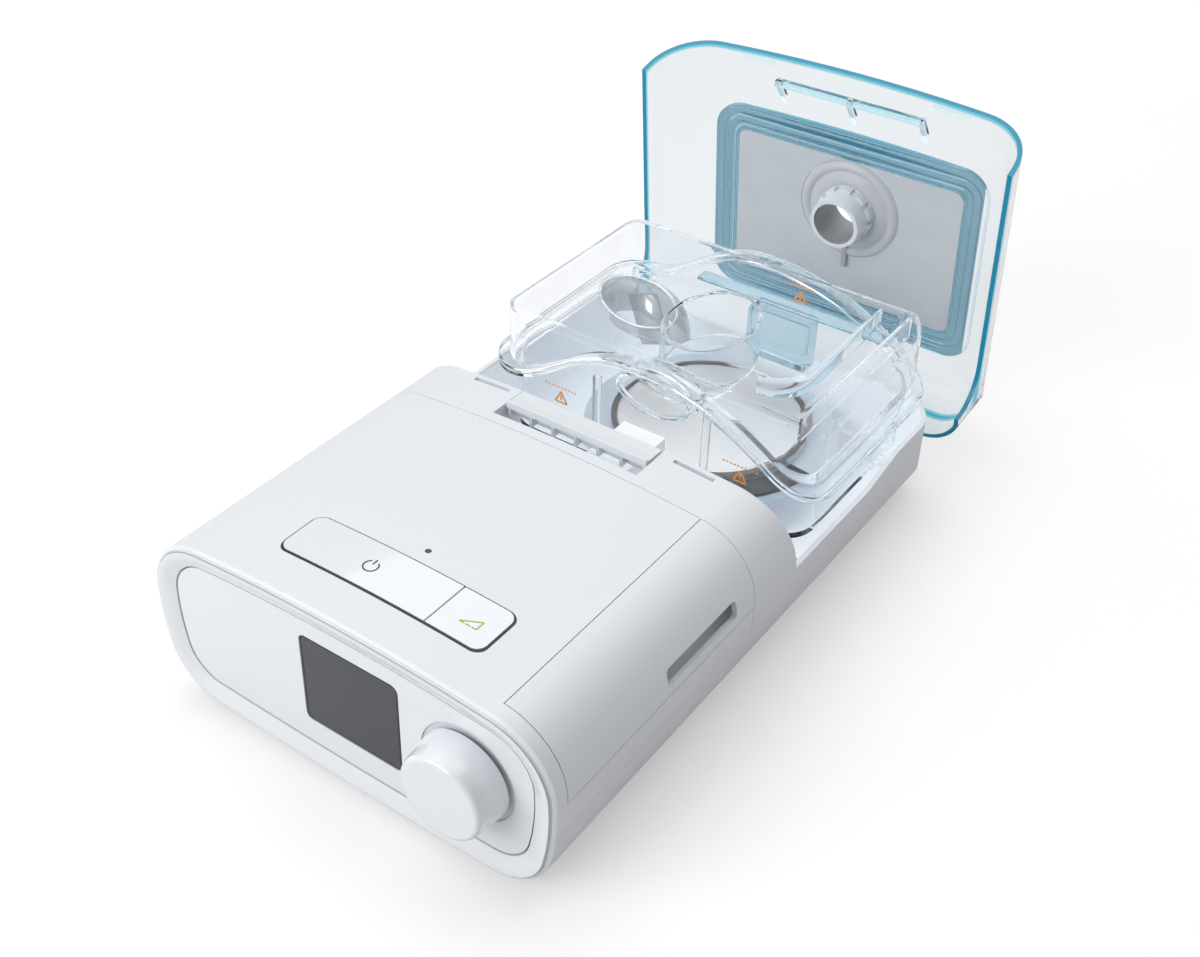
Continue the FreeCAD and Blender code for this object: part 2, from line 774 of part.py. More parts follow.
def key_tray():
    """The dark soft tray under the keys, seen as the thin line round them."""
    high = S.body_top - S.wall - S.tray_drop
    outer = key_zone(S.key_gap + 2.0, high - S.tray_thick)
    shape = outer.common(block((-FAR, FAR), (-FAR, FAR), (-FAR, high)))
    for left, right in ((S.keys_left, S.keys_split), (S.keys_split, S.keys_right)):
        shape = shape.cut(tube("Z", 3.0, 0, FAR, ((left + right) / 2, (S.keys_front + S.keys_back) / 2)))
    keep(solid("key_tray_shape", shape), "key_tray")
    return high - S.tray_thick


def key_board(tray_low):
    """A small board with a switch under each key; a lug on it bears on the tray."""
    high = tray_low - 0.1 - S.switch_high
    slab = box("key_board_slab", (S.keys_left - 1, S.keys_right + 1),
               (S.keys_front, S.keys_back + S.board_tail), (high - S.board_thick, high))
    lug = box("key_board_tail", (S.keys_left + S.lug_place, S.keys_left + S.lug_place + S.lug_side),
              (S.keys_front + 4, S.keys_front + 8), (high - 0.1, tray_low - 0.1))
    keep(fuse("key_board_whole", slab, lug), "key_board")
    spans = ((S.keys_left, S.keys_split), (S.keys_split, S.keys_right))
    for number, (left, right) in enumerate(spans, start=1):
        x, y, half = (left + right) / 2, (S.keys_front + S.keys_back) / 2, S.switch_side / 2
        base = box("switch_base_%d" % number, (x - half, x + half), (y - half, y + half),
                   (tray_low - S.switch_high, tray_low - 0.6))
        keep(base_to_feature("switch_%d" % number, base), "switch_%d" % number)


def base_to_feature(name, part):
    """Wraps one primitive so that its finished placement is free."""
    obj = doc.addObject("Part::Compound", name + "_wrap")
    obj.Links = [part]
    return obj


def sensor_lens():
    body = new_body("sensor_lens_body")
    sketch = new_sketch(body, "sensor_lens_sketch", "XY_Plane", S.body_top - S.wall - 0.2)
    draw_circle(sketch, S.sensor_x, S.sensor_y, S.sensor_radius - 0.02)
    pad(body, sketch, S.wall)
    keep(body, "sensor_lens")


# ---------------------------------------------------------------- side door and air path

def slot_prism(grow, inner):
    return rounded_slab((inner, FAR), (S.slot_front - grow, S.slot_back + grow),
                        (S.slot_low - grow, S.slot_high + grow), 2.0, "YZ")


def side_door():
    gap = S.door_gap
    shape = oval(0, S.door_front + gap, S.seam_back).cut(oval(S.wall, -TINY, FAR))
    shape = shape.common(block((door_inner + gap, FAR), (-FAR, FAR), (S.door_low + gap, FAR)))
    shape = shape.cut(slot_prism(0, filter_outer - 5))
    keep(solid("side_door_shape", shape), "side_door")


def air_filter():
    margin = S.filter_margin
    pad_block = box("air_filter_block", (filter_outer - S.filter_thick, filter_outer - 0.2),
                    (S.slot_front - margin, S.slot_back + margin),
                    (S.slot_low - margin, S.slot_high + margin))
    keep(base_to_feature("air_filter", pad_block), "air_filter")
    reach = filter_outer - S.filter_thick - 6
    shell = box("filter_frame_outer", (reach, filter_outer),
                (S.slot_front - margin - S.wall, S.slot_back + margin + S.wall),
                (S.slot_low - margin - S.wall, S.slot_high + margin + S.wall))
    room = box("filter_frame_room", (filter_outer - S.filter_thick - 0.1, filter_outer + TINY),
               (S.slot_front - margin - 0.1, S.slot_back + margin + 0.1),
               (S.slot_low - margin - 0.1, S.slot_high + margin + 0.1))
    window = box("filter_frame_window", (reach - TINY, filter_outer),
                 (S.slot_front, S.slot_back), (S.slot_low, S.slot_high))
    keep(cut("filter_frame_cut", shell, room, window), "filter_frame")


def blower():
    """A hollow round casing with an eye on top, and a square outlet duct that runs to the rear wall."""
    centre = (S.blower_x, S.blower_y)
    wall = S.blower_wall
    left = S.blower_x - S.blower_radius
    outer = tube("Z", S.blower_radius, S.blower_low, S.blower_high, centre)
    room = tube("Z", S.blower_radius - wall, S.blower_low + wall, S.blower_high - wall, centre)
    seat = block((left, left + S.duct_width), (S.blower_y, FAR), (S.duct_low, S.duct_high))
    way = block((left + wall, left + S.duct_width - wall), (S.blower_y, FAR),
                (S.duct_low + wall, S.duct_high - wall))
    eye = tube("Z", S.blower_eye, S.blower_high - 2 * wall, S.blower_high + TINY, centre)
    shaft = tube("Z", S.rotor_shaft + S.shaft_fit, S.blower_low - TINY, S.blower_low + 2 * wall, centre)
    casing = outer.cut(room).cut(way).cut(eye).cut(shaft)
    keep(solid("blower_casing_shape", casing.removeSplitter()), "blower_casing")
    duct = seat.common(oval(0, S.blower_y, S.seam_back - S.bulkhead - S.duct_gap))
    duct = duct.cut(way).cut(tube("Z", S.blower_radius + S.duct_gap, 0, FAR, centre))
    keep(solid("blower_duct_shape", duct.removeSplitter()), "blower_duct")


def impeller():
    """A back plate with a ring of blades on a shaft."""
    low = S.blower_low + S.blower_wall + 2
    centre = (S.blower_x, S.blower_y)
    plate = round_bar("impeller_plate", "Z", S.rotor_radius, low, low + 2, centre)
    shaft = round_bar("impeller_shaft", "Z", S.rotor_shaft, S.blower_low - 6, low + 12, centre)
    hub = round_bar("impeller_hub", "Z", S.rotor_shaft + 4, low, low + 10, centre)
    blade = box("impeller_blade", (S.blower_x + S.rotor_shaft + 3, S.blower_x + S.rotor_radius - 1),
                (S.blower_y - 0.6, S.blower_y + 0.6), (low + 1, low + 14))
    blades = [blade]
    count = 11
    for number in range(1, count):
        copy = doc.addObject("Part::Feature", "impeller_blade_%d" % number)
        turned = block((S.blower_x + S.rotor_shaft + 3, S.blower_x + S.rotor_radius - 1),
                       (S.blower_y - 0.6, S.blower_y + 0.6), (low + 1, low + 14))
        turned.rotate(Vector(float(centre[0]), float(centre[1]), 0), Vector(0, 0, 1), 360.0 * number / count)
        copy.Shape = turned
        blades.append(copy)
    keep(fuse("impeller_whole", plate, shaft, hub, *blades), "impeller")


def blower_motor():
    can = round_bar("motor_can", "Z", S.motor_radius - S.wall - 0.3, floor_top + 0.8, S.blower_low - 0.2,
                    (S.blower_x, S.blower_y))
    bore = round_bar("motor_bore", "Z", S.rotor_shaft + 0.05, S.blower_low - 8, S.blower_low + TINY,
                     (S.blower_x, S.blower_y))
    keep(cut("motor_cut", can, bore), "blower_motor")


def air_port():
    """The oval-ended duct that carries air through the bridge to the mouth of the tank."""
    half = S.duct_width / 2
    wall = S.blower_wall
    front = S.seam_back + S.seam_gap + 0.2
    outer = box("air_port_outer", (duct_middle - half, duct_middle + half),
                (front, S.tank_front - S.flange_out - 3), (S.duct_low, S.duct_high))
    room = box("air_port_room", (duct_middle - half + wall, duct_middle + half - wall),
               (front - TINY, S.tank_front), (S.duct_low + wall, S.duct_high - wall))
    keep(cut("air_port_cut", outer, room), "air_port")


def main_board():
    body = new_body("main_board_body")
    sketch = new_sketch(body, "main_board_sketch", "XY_Plane", S.board_low)
    draw_rounded(sketch, board_left, S.board_right, S.board_front, S.board_back, as_dim(3))
    pad(body, sketch, S.board_thick)
    keep(body, "main_board")


def power_socket():
    start = -half_width + 1.2
    centre = (S.socket_y, S.socket_z)
    barrel = round_bar("power_socket_barrel", "X", S.socket_radius, start, start + S.socket_length, centre)
    bore = round_bar("power_socket_bore", "X", S.socket_bore, start - TINY, start + S.socket_depth, centre)
    keep(cut("power_socket_cut", barrel, bore), "power_socket")


# ---------------------------------------------------------------- humidifier base

def base_plan(inset):
    """Plan outline of the base as a tall prism: a little narrower behind, with round rear corners."""
    wide, narrow = half_width - inset, half_width - S.waist - inset
    back = S.base_back - inset
    right = [(wide, -FAR / 4), (wide, S.waist_front), (narrow, S.waist_back), (narrow, back)]
    outline = right + [(-x, y) for x, y in reversed(right)]
    points = [Vector(float(x), float(as_dim(y)), -TINY) for x, y in outline]
    prism = Part.Face(Part.makePolygon(points + points[:1])).extrude(Vector(0, 0, FAR))
    corners = [e for e in prism.Edges if abs(e.tangentAt(e.FirstParameter).z) > 0.99
               and e.BoundBox.YMin > float(back) - 0.01]
    return prism.makeFillet(float(S.base_plan_corner - inset), corners)


def slanted_back(extra):
    """Everything in front of the sloping rear edge of the bridge."""
    top, side = float(S.bridge_top_back + extra), float(S.bridge_side_back + extra)
    slope = (side - top) / float(S.body_top - S.rim)
    high, low = float(S.body_top) + 10, float(S.rim)
    profile = [(-FAR, low), (side, low), (top - slope * 10, high), (-FAR, high)]
    wire = Part.makePolygon([Vector(-FAR, y, z) for y, z in profile + profile[:1]])
    return Part.Face(wire).extrude(Vector(2 * FAR, 0, 0))


SPRINGS = 3
carrier_low = S.heater_top - S.heater_thick - S.carrier_thick


def ring_place(step):
    """Plan position on the ring of springs under the heater; half steps lie between two springs."""
    angle = math.radians(90 + 360 / SPRINGS * step)
    return (S.heater_x + S.spring_ring * math.cos(angle), S.heater_y + S.spring_ring * math.sin(angle))


def humidifier_base():
    front = S.seam_back + S.seam_gap
    outer = oval(0, front, S.base_back).common(base_plan(as_dim(0)))
    room = oval(S.wall, front + S.bulkhead, S.base_back).common(base_plan(S.wall))
    below = block((-FAR, FAR), (-FAR, FAR), (-FAR, S.rim))
    keep_zone = slanted_back(as_dim(0)).fuse(below)
    # the lower rear is set back to leave room for the hinge
    recess_top = S.hinge_low + S.knuckle_radius + S.hinge_room
    room = room.cut(block((-FAR, FAR), (S.hinge_wall - S.wall, FAR), (-FAR, recess_top + S.wall)))
    shape = outer.cut(room).common(keep_zone)
    shape = shape.cut(block((-FAR, FAR), (S.hinge_wall, FAR), (-FAR, recess_top)))
    # bay front wall under the bridge
    wall_front = S.bridge_top_back - S.bulkhead - 2
    bay_wall = oval(S.wall - 0.5, wall_front, wall_front + S.bulkhead)
    shape = shape.fuse(bay_wall)
    # pocket that holds the latch lever
    half = S.latch_half + S.latch_gap
    pocket_outer = block((-half - S.pocket_wall, half + S.pocket_wall),
                         (S.latch_slot_front - 2, wall_front + S.bulkhead),
                         (S.latch_slot_low - 2, S.body_top - 3))
    pocket_outer = pocket_outer.common(oval(S.wall / 2, 0, FAR))
    shape = shape.fuse(pocket_outer)
    shape = shape.cut(block((-half, half), (S.latch_slot_front, FAR), (S.latch_slot_low, FAR)).common(
        block((-FAR, FAR), (-FAR, S.bridge_side_back), (-FAR, FAR))))
    axle_end = S.latch_half + S.latch_gap + 3
    shape = shape.cut(tube("X", S.axle_radius, -axle_end, axle_end, (S.axle_back, S.axle_low)))
    for side in (-1, 1):
        inner, outer_x = sorted((side * float(S.catch_inner) + 1, side * float(S.catch_outer) + 1))
        catch_front = S.bridge_top_back - 4
        shape = shape.cut(block((inner, outer_x), (catch_front, catch_front + S.catch_deep),
                                (S.body_top - 8, FAR)))
    # duct passage
    half_duct = S.duct_width / 2 + 0.15
    shape = shape.cut(block((duct_middle - half_duct, duct_middle + half_duct),
                            (front - TINY, S.bridge_top_back + 2), (S.duct_low - 0.15, S.duct_high + 0.15)))
    # corner shelves inside the bay
    shelf_back = S.tank_front - S.flange_out - 1
    for side in (-1, 1):
        x0, x1 = sorted((side * float(half_width - S.shelf_set), side * float(half_width - 1)))
        shelf = block((x0, x1), (wall_front + S.bulkhead - 0.2, shelf_back),
                      (floor_top, S.rim - S.shelf_drop))
        shelf = shelf.cut(block((x0 + 2, x1 - 4), (wall_front + S.bulkhead + 2, shelf_back - 2),
                                (S.rim - S.shelf_well, FAR))).common(oval(0.5, 0, FAR))
        shape = shape.fuse(shelf)
    # hinge ears and lid stops behind the rear wall
    for side in (-1, 1):
        for near, far_x in ((knuckle_in - S.ear_gap - S.ear_thick, knuckle_in - S.ear_gap),
                            (knuckle_out + S.ear_gap, knuckle_out + S.ear_gap + S.ear_thick)):
            x0, x1 = sorted((side * float(near), side * float(far_x)))
            ear = tube("X", S.knuckle_radius - 0.6, x0, x1, (S.hinge_back, S.hinge_low))
            half_ear = S.knuckle_radius - 0.6
            ear = ear.fuse(block((x0, x1), (S.base_back - S.base_plan_corner / 2, S.hinge_back),
                                 (S.hinge_low - half_ear, S.hinge_low + half_ear)))
            ear = ear.fuse(block((x0, x1), (S.hinge_back, S.hinge_back + S.knuckle_radius + S.stop_long),
                                 (S.hinge_low - 2, S.hinge_low + 1)))
            shape = shape.fuse(ear.cut(room))
        reach = S.ear_gap + S.ear_thick
        x0, x1 = sorted((side * float(knuckle_in - reach), side * float(knuckle_out + reach)))
        stop_top = S.hinge_low - (S.lid_back - S.web_set - S.hinge_back) - S.stop_gap
        stop_front = S.hinge_back + S.knuckle_radius + S.ear_gap
        shape = shape.fuse(block((x0, x1), (stop_front, stop_front + S.stop_long), (stop_top - 2, stop_top)))
    shape = shape.cut(tube("X", S.pin_radius, -knuckle_out - 12, knuckle_out + 12,
                           (S.hinge_back, S.hinge_low)))
    shape = foot_recesses(shape, BASE_FEET)
    for number in range(SPRINGS):
        post = tube("Z", S.stop_radius, S.body_bottom, carrier_low - S.press_travel - S.stop_gap,
                    ring_place(number + 0.5))
        shape = shape.fuse(post.common(oval(S.wall / 2, 0, FAR)))
    keep(solid("humidifier_base_shape", shape.removeSplitter()), "humidifier_base")


def latch():
    """The lever across the bridge with its finger lip, its ribs and the axle it turns on."""
    half = float(S.latch_half)
    top = S.body_top - 0.3
    plate = block((-half, half), (S.latch_front, S.latch_back), (top - S.latch_thick, top))
    lip = block((-half, half), (S.latch_front, S.latch_front + 1.6), (top - 0.1, top + S.latch_lip))
    hub = tube("X", S.axle_radius + 1.8, -half, half, (S.axle_back, S.axle_low))
    web = block((-half, half), (S.axle_back - 1, S.axle_back + 1), (S.axle_low, top - 1))
    shape = plate.fuse([lip, hub, web])
    count = int(float(S.latch_ribs))
    for number in range(count):
        x = -half + 1.0 + (2 * half - 2.0) * number / (count - 1)
        shape = shape.fuse(block((x - 0.7, x + 0.7), (S.latch_front + 0.6, S.axle_back),
                                 (S.axle_low - 2, top - 1)))
    shape = shape.cut(tube("X", S.axle_radius + S.axle_fit, -FAR, FAR, (S.axle_back, S.axle_low)))
    keep(solid("latch_lever_shape", shape.removeSplitter()), "latch_lever")
    reach = S.latch_half + S.latch_gap + 2.6
    axle = round_bar("latch_axle_bar", "X", S.axle_radius, -reach, reach, (S.axle_back, S.axle_low))
    keep(base_to_feature("latch_axle", axle), "latch_axle")


def hinge_pins():
    for side, word in ((-1, "left"), (1, "right")):
        inner = knuckle_in - S.ear_gap - S.ear_thick
        outer = knuckle_out + S.ear_gap + S.ear_thick
        ends = (inner, outer) if side > 0 else (-outer, -inner)
        bar = round_bar("hinge_pin_%s_bar" % word, "X", S.pin_radius, ends[0], ends[1],
                        (S.hinge_back, S.hinge_low))
        keep(base_to_feature("hinge_pin_" + word, bar), "hinge_pin_" + word)


# ---------------------------------------------------------------- heater

def heater():
    """The metal plate on its black carrier, which three springs hold up while the lid is open."""
    centre = (S.heater_x, S.heater_y)
    low = S.heater_top - S.heater_thick
    plate = round_bar("heater_disc", "Z", S.heater_radius, low, S.heater_top, centre)
    keep(base_to_feature("heater_plate", plate), "heater_plate")
    low = low - S.carrier_thick
    disc = tube("Z", S.carrier_radius, low, low + S.carrier_thick, centre)
    reach = S.hinge_wall - S.wall - S.carrier_gap
    disc = disc.common(block((-FAR, FAR), (0, reach), (0, FAR)))
    keep(solid("heater_carrier_shape", disc), "heater_carrier")
    foot = floor_top + 0.5 + S.spring_wire
    rise = float(low - foot - S.spring_wire) - 0.3
    for number in range(SPRINGS):
        x, y = (float(v) for v in ring_place(number))
        z = float(foot)
        radius, wire = float(S.spring_radius), float(S.spring_wire)
        helix = Part.makeHelix(rise / float(S.spring_turns), rise, radius)
        profile = Part.Wire(Part.makeCircle(wire, Vector(radius, 0, 0), Vector(0, 1, 0)))
        coil = Part.Wire(helix.Edges).makePipeShell([profile], True, True)
        coil.translate(Vector(x, y, z))
        keep(solid("heater_spring_shape_%d" % (number + 1), coil), "heater_spring_%d" % (number + 1))


# ---------------------------------------------------------------- water tank

def tank_block(inset, low, high):
    """Plan outline of the tank between two levels, drawn in by inset."""
    return rounded_slab((S.tank_x - S.tank_half + inset, S.tank_x + S.tank_half - inset),
                        (S.tank_front + inset, S.tank_back - inset), (low, high),
                        float(S.tank_plan_corner) - float(as_dim(inset)) * 0.6)


def flange_line(lift):
    """Height of the joint between the tank's halves across the tank: level, a swell, then level."""
    left = float(S.tank_x - S.tank_half) - 12
    right = float(S.tank_x + S.tank_half) + 12
    peak, rise = float(S.flange_peak_x), float(S.flange_rise)
    level, top, end = float(S.flange_left), float(S.flange_peak), float(S.flange_right)
    shares = [(-1.75, level + 0.03 * (top - level)), (-0.62, level + 0.88 * (top - level)), (0.0, top),
              (0.95, end + 0.84 * (top - end)), (1.75, end + 0.46 * (top - end)), (2.5, end)]
    points = [Vector(left, 0, level + lift)]
    points += [Vector(peak + rise * part, 0, height + lift) for part, height in shares]
    points += [Vector(right, 0, end + lift)]
    curve = Part.BSplineCurve()
    curve.interpolate(points, InitialTangent=Vector(1, 0, 0), FinalTangent=Vector(1, 0, 0))
    return curve.toShape(), points[0], points[-1]


def below_flange(lift):
    """Everything under the joint line, as a prism along Y."""
    line, first, last = flange_line(lift)
    deep = -50.0
    floor = [Part.makeLine(last, Vector(last.x, 0, deep)),
             Part.makeLine(Vector(last.x, 0, deep), Vector(first.x, 0, deep)),
             Part.makeLine(Vector(first.x, 0, deep), first)]
    return Part.Face(Part.Wire([line] + floor)).extrude(Vector(0, FAR, 0))


def tank_dome(inset):
    """The outside of the upper half: round in plan, with close edges all round and a fuller right one."""
    left, right = S.tank_x - S.tank_half + inset, S.tank_x + S.tank_half - inset
    high, deep = S.tank_top - inset, S.heater_top
    small, full = float(S.tank_top_edge - inset / 2), float(S.tank_right_edge - inset)

    def softened(shape, radius, far_side):
        edges = [e for e in shape.Edges if e.BoundBox.ZMin > float(high) - 0.01 and far_side(e.BoundBox)]
        return shape.makeFillet(radius, edges)

    across = block((left, right), (S.tank_front + inset, S.tank_back - inset), (deep, high))
    across = softened(across, small, lambda b: b.XMax < float(left) + 0.01)
    across = softened(across, full, lambda b: b.XMin > float(right) - 0.01)
    along = block((left, right), (S.tank_front + inset, S.tank_back - inset), (deep, high))
    along = softened(along, small, lambda b: b.YLength < 0.01)
    return tank_block(inset, deep, high).common(across).common(along)


def tank():
    foot = S.heater_top + S.tank_rest
    low = foot + S.tank_plate_thick
    wall = S.tank_wall
    thick, seal = float(S.flange_thick), float(S.tank_seal)
    # lower half
    cavity_low = low + wall
    lower = tank_block(S.tank_inset, low, S.tank_top).common(below_flange(-seal / 2))
    room = tank_block(S.tank_inset + wall, cavity_low, FAR)
    brim = tank_block(-S.flange_out, low, S.tank_top).common(below_flange(-seal / 2))
    brim = brim.cut(below_flange(-seal / 2 - thick))
    shape = lower.fuse(brim).cut(room)
    mouth = oval_bar("Y", S.inlet_half_x, S.inlet_half_z, S.tank_front + S.tank_inset - 2.5,
                     S.tank_front + 15, (S.inlet_x, S.inlet_z))
    hollow = oval_bar("Y", S.inlet_half_x - wall, S.inlet_half_z - wall, S.tank_front,
                      S.tank_front + 16, (S.inlet_x, S.inlet_z))
    mouth = mouth.cut(hollow)
    shape = shape.cut(oval_bar("Y", S.inlet_half_x + S.duct_gap, S.inlet_half_z + S.duct_gap, S.tank_front,
                               S.tank_front + 16, (S.inlet_x, S.inlet_z)))
    keep(solid("tank_mouth_shape", mouth.removeSplitter()), "tank_mouth")
    shape = shape.cut(tube("Z", S.heater_radius - S.tank_plate_lap, 0, cavity_low + TINY,
                           (S.heater_x, S.heater_y)))
    keep(solid("tank_lower_shape", shape.removeSplitter()), "tank_lower")
    plate = round_bar("tank_plate_disc", "Z", S.heater_radius, foot, low, (S.heater_x, S.heater_y))
    keep(base_to_feature("tank_plate", plate), "tank_plate")
    # upper half
    dome = tank_dome(as_dim(0))
    hollow = tank_dome(wall)
    brim = tank_block(-S.flange_out, low, S.tank_top).common(below_flange(seal / 2 + thick))
    cover = dome.fuse(brim).cut(below_flange(seal / 2)).cut(hollow)
    cover = cover.cut(outlet_prism(0, S.tank_top - 10, S.tank_top + 5))
    keep(solid("tank_cover_shape", cover.removeSplitter()), "tank_cover")
    # gasket between them
    gasket = tank_block(-S.flange_out + 1.0, low, S.tank_top).cut(tank_block(S.tank_inset + wall, 0, FAR))
    gasket = gasket.common(below_flange(seal / 2 - 0.05)).cut(below_flange(-seal / 2 + 0.05))
    keep(solid("tank_seal_shape", gasket.removeSplitter()), "tank_seal")


def oval_bar(axis, half_x, half_other, start, end, centre):
    """A bar of elliptic section along Y or Z; centre is (x, z) or (x, y)."""
    start, end, half_x, half_other = (float(v) for v in (start, end, half_x, half_other))
    x, other = (float(v) for v in centre)
    middle = Vector(x, start, other) if axis == "Y" else Vector(x, other, start)
    along = Vector(0, 1, 0) if axis == "Y" else Vector(0, 0, 1)
    across = Vector(0, 0, 1) if axis == "Y" else Vector(0, 1, 0)
    ends = [Vector(half_x, 0, 0), across * half_other]
    ends.sort(key=lambda v: -v.Length)
    curve = Part.Ellipse(middle + ends[0], middle + ends[1], middle)
    face = Part.Face(Part.Wire([curve.toShape()]))
    return face.extrude(along * (end - start))


def outlet_prism(grow, low, high):
    """The oval outlet in the cover, as a prism between two levels."""
    return oval_bar("Z", S.outlet_half_x + grow, S.outlet_half_y + grow, low, high,
                    (S.outlet_x, outlet_y))


def tank_outlet():
    """The clear throat that hangs from the oval outlet and turns down towards the left."""
    wall = S.tank_wall
    top = S.tank_top - wall - 0.05
    throat = outlet_prism(wall, top - S.outlet_drop, top)
    throat = throat.cut(outlet_prism(0, top - S.outlet_drop - 1, top + 1))
    keep(solid("tank_outlet_shape", throat), "tank_outlet")


# ---------------------------------------------------------------- lid, drawn shut

def lid_prism(inset):
    """Plan and side outlines of the lid together: round rear corners and a round rear top edge."""
    plan = rounded_slab((-half_width + inset, half_width - inset), (-FAR / 4, S.lid_back - inset),
                        (-TINY, FAR), S.lid_plan_corner - inset)
    high = S.body_top - inset
    side = block((-FAR, FAR), (-FAR, S.lid_back - inset), (-TINY, high))
    edges = [e for e in side.Edges if e.BoundBox.YMin > float(S.lid_back - inset) - 0.01
             and e.BoundBox.ZMin > float(high) - 0.01]
    return plan.common(side.makeFillet(float(S.lid_top_corner - inset), edges))


def lid_shell():
    wall = S.lid_wall
    outer = oval(0, S.seam_back, S.lid_back).common(lid_prism(as_dim(0)))
    inner = oval(wall, S.seam_back - TINY, S.lid_back + TINY).common(lid_prism(wall))
    shape = outer.cut(inner).cut(slanted_back(S.lid_gap))
    under = block((-FAR, FAR), (-FAR, S.lid_edge_back), (-FAR, S.rim + S.lid_gap))
    edges = [e for e in under.Edges if e.BoundBox.YMin > float(S.lid_edge_back) - 1
             and e.BoundBox.ZMin > float(S.rim) - 1]
    under = under.makeFillet(float(S.lid_edge_corner), edges)
    shape = shape.cut(under).cut(block((-FAR, FAR), (-FAR, FAR), (-FAR, S.lid_low_back)))
    for side in (-1, 1):
        x0, x1 = sorted((side * float(knuckle_in), side * float(knuckle_out)))
        knuckle = tube("X", S.knuckle_radius, x0, x1, (S.hinge_back, S.hinge_low))
        web = block((x0, x1), (S.lid_back - wall, S.lid_back - S.web_set), (S.hinge_low, S.lid_low_back + 3))
        shape = shape.fuse(knuckle.fuse(web))
    shape = shape.cut(tube("X", S.pin_radius + S.axle_fit, -FAR / 2, FAR / 2, (S.hinge_back, S.hinge_low)))
    # latch bar on three sloping posts, and two ribs near the front edge
    middle, half = S.lid_panel_x, S.latch_bar
    under = oval(wall / 2, S.seam_back, S.lid_back)
    bar = block((middle - half, middle + half), (S.bridge_side_back + 0.5, S.bridge_side_back + 3.5),
                (S.body_top - 13, S.body_top - 9.5))
    shape = shape.fuse(bar)
    for x in (middle - half, middle - 1.2, middle + half - 2.4):
        front, low, high = float(S.bridge_side_back) + 3.5, float(S.body_top) - 12.5, float(S.body_top)
        side = [(front - 1, low), (front - 3, low + 2.5), (front + 14, high), (front + 19, high)]
        wire = Part.makePolygon([Vector(float(x), y, z) for y, z in side + side[:1]])
        shape = shape.fuse(Part.Face(wire).extrude(Vector(2.4, 0, 0)).common(under))
    for side in (-1, 1):
        inner, outer_x = sorted((side * float(S.catch_inner) + 2, side * float(S.catch_outer) + 2))
        rib = block((inner, outer_x), (S.bridge_top_back + 3.7, S.bridge_top_back + 5.5),
                    (S.body_top - 5.5, FAR))
        shape = shape.fuse(rib.common(under))
    shape = shape.cut(tube("Z", S.port_bore + S.port_wall, S.body_top - 15, FAR, (S.port_x, S.port_y)))
    keep(solid("lid_shell_shape", shape.removeSplitter()), "lid_shell", swung=True)


def lid_inside():
    """Ribbed frame and grey pad under the lid, the soft seal, and the port ring through it."""
    low, thick = S.lid_panel_low, S.lid_panel_thick
    roof = oval(S.lid_wall + 0.1, S.seam_back, S.lid_back).common(lid_prism(S.lid_wall + 0.1))

    def panel(inset, height):
        left, right = S.lid_panel_x - S.lid_panel_half, S.lid_panel_x + S.lid_panel_half
        corner = max(float(S.lid_frame_corner) - float(as_dim(inset)) * 0.75, 3)
        front, back = S.lid_panel_front + inset, S.lid_panel_back - inset
        slab = rounded_slab((left + inset, right - inset), (front, back), (low, low + height), corner)
        return slab.common(roof)

    shape = panel(0, thick).cut(panel(S.lid_frame, 2 * thick))
    for ring in range(3):
        inset = ring * S.lid_frame_step
        inner = panel(inset + S.lid_frame_rib, 2 * S.lid_frame_rise)
        shape = shape.fuse(panel(inset, S.lid_frame_rise).cut(inner))
    keep(solid("lid_frame_shape", shape.removeSplitter()), "lid_frame", swung=True)
    gap = 0.05
    pad_plate = panel(S.lid_frame + gap, thick)
    pad_plate = pad_plate.cut(tube("Z", S.seal_radius + gap, 0, FAR, (S.port_x, S.port_y)))
    keep(solid("lid_pad_shape", pad_plate), "lid_pad", swung=True)
    ring = S.port_bore + S.port_wall
    seal = tube("Z", S.seal_radius, low, low + 3, (S.port_x, S.port_y))
    seal = seal.cut(tube("Z", ring + gap, 0, FAR, (S.port_x, S.port_y)))
    keep(solid("lid_seal_shape", seal), "lid_seal", swung=True)
    port = tube("Z", ring, low - S.port_drop, S.body_top - 0.4, (S.port_x, S.port_y))
    collar = tube("Z", S.port_collar, low - 6.5, low - 0.3, (S.port_x, S.port_y))
    count = int(float(S.port_teeth))
    for number in range(count):
        tooth = block((S.port_x + ring, S.port_x + S.port_collar + 1), (S.port_y - 1.5, S.port_y + 1.5),
                      (low - 7, low - 2.5))
        tooth.rotate(Vector(float(S.port_x), float(S.port_y), 0), Vector(0, 0, 1), 360.0 * number / count)
        collar = collar.cut(tooth)
    port = port.fuse(collar).cut(tube("Z", S.port_bore, 0, FAR, (S.port_x, S.port_y)))
    keep(solid("lid_port_shape", port.removeSplitter()), "lid_port", swung=True)


# ---------------------------------------------------------------- build

top_housing()
bottom_housing()
feet()
front_bezel()
face_panel()
screen_lens()
screen_module()
BOARD_FRONT = face_board()
encoder(BOARD_FRONT)
dial_shaft(BOARD_FRONT)
dial()
key_cap("power_key", S.keys_left, S.keys_split - S.key_gap / 2)
key_cap("ramp_key", S.keys_split + S.key_gap / 2, S.keys_right)
key_board(key_tray())
sensor_lens()
side_door()
air_filter()
blower()
impeller()
blower_motor()
air_port()
main_board()
power_socket()
humidifier_base()
latch()
hinge_pins()
heater()
tank()
tank_outlet()
lid_shell()
lid_inside()

doc.recompute()

faults = [obj.Name for obj in doc.Objects if {"Invalid", "Error"} & set(obj.State)]
for piece in PIECES:
    if piece.Shape.isNull() or not piece.Shape.isValid():
        faults.append(piece.Label)
if faults:
    raise RuntimeError("failed objects: %s" % ", ".join(faults))

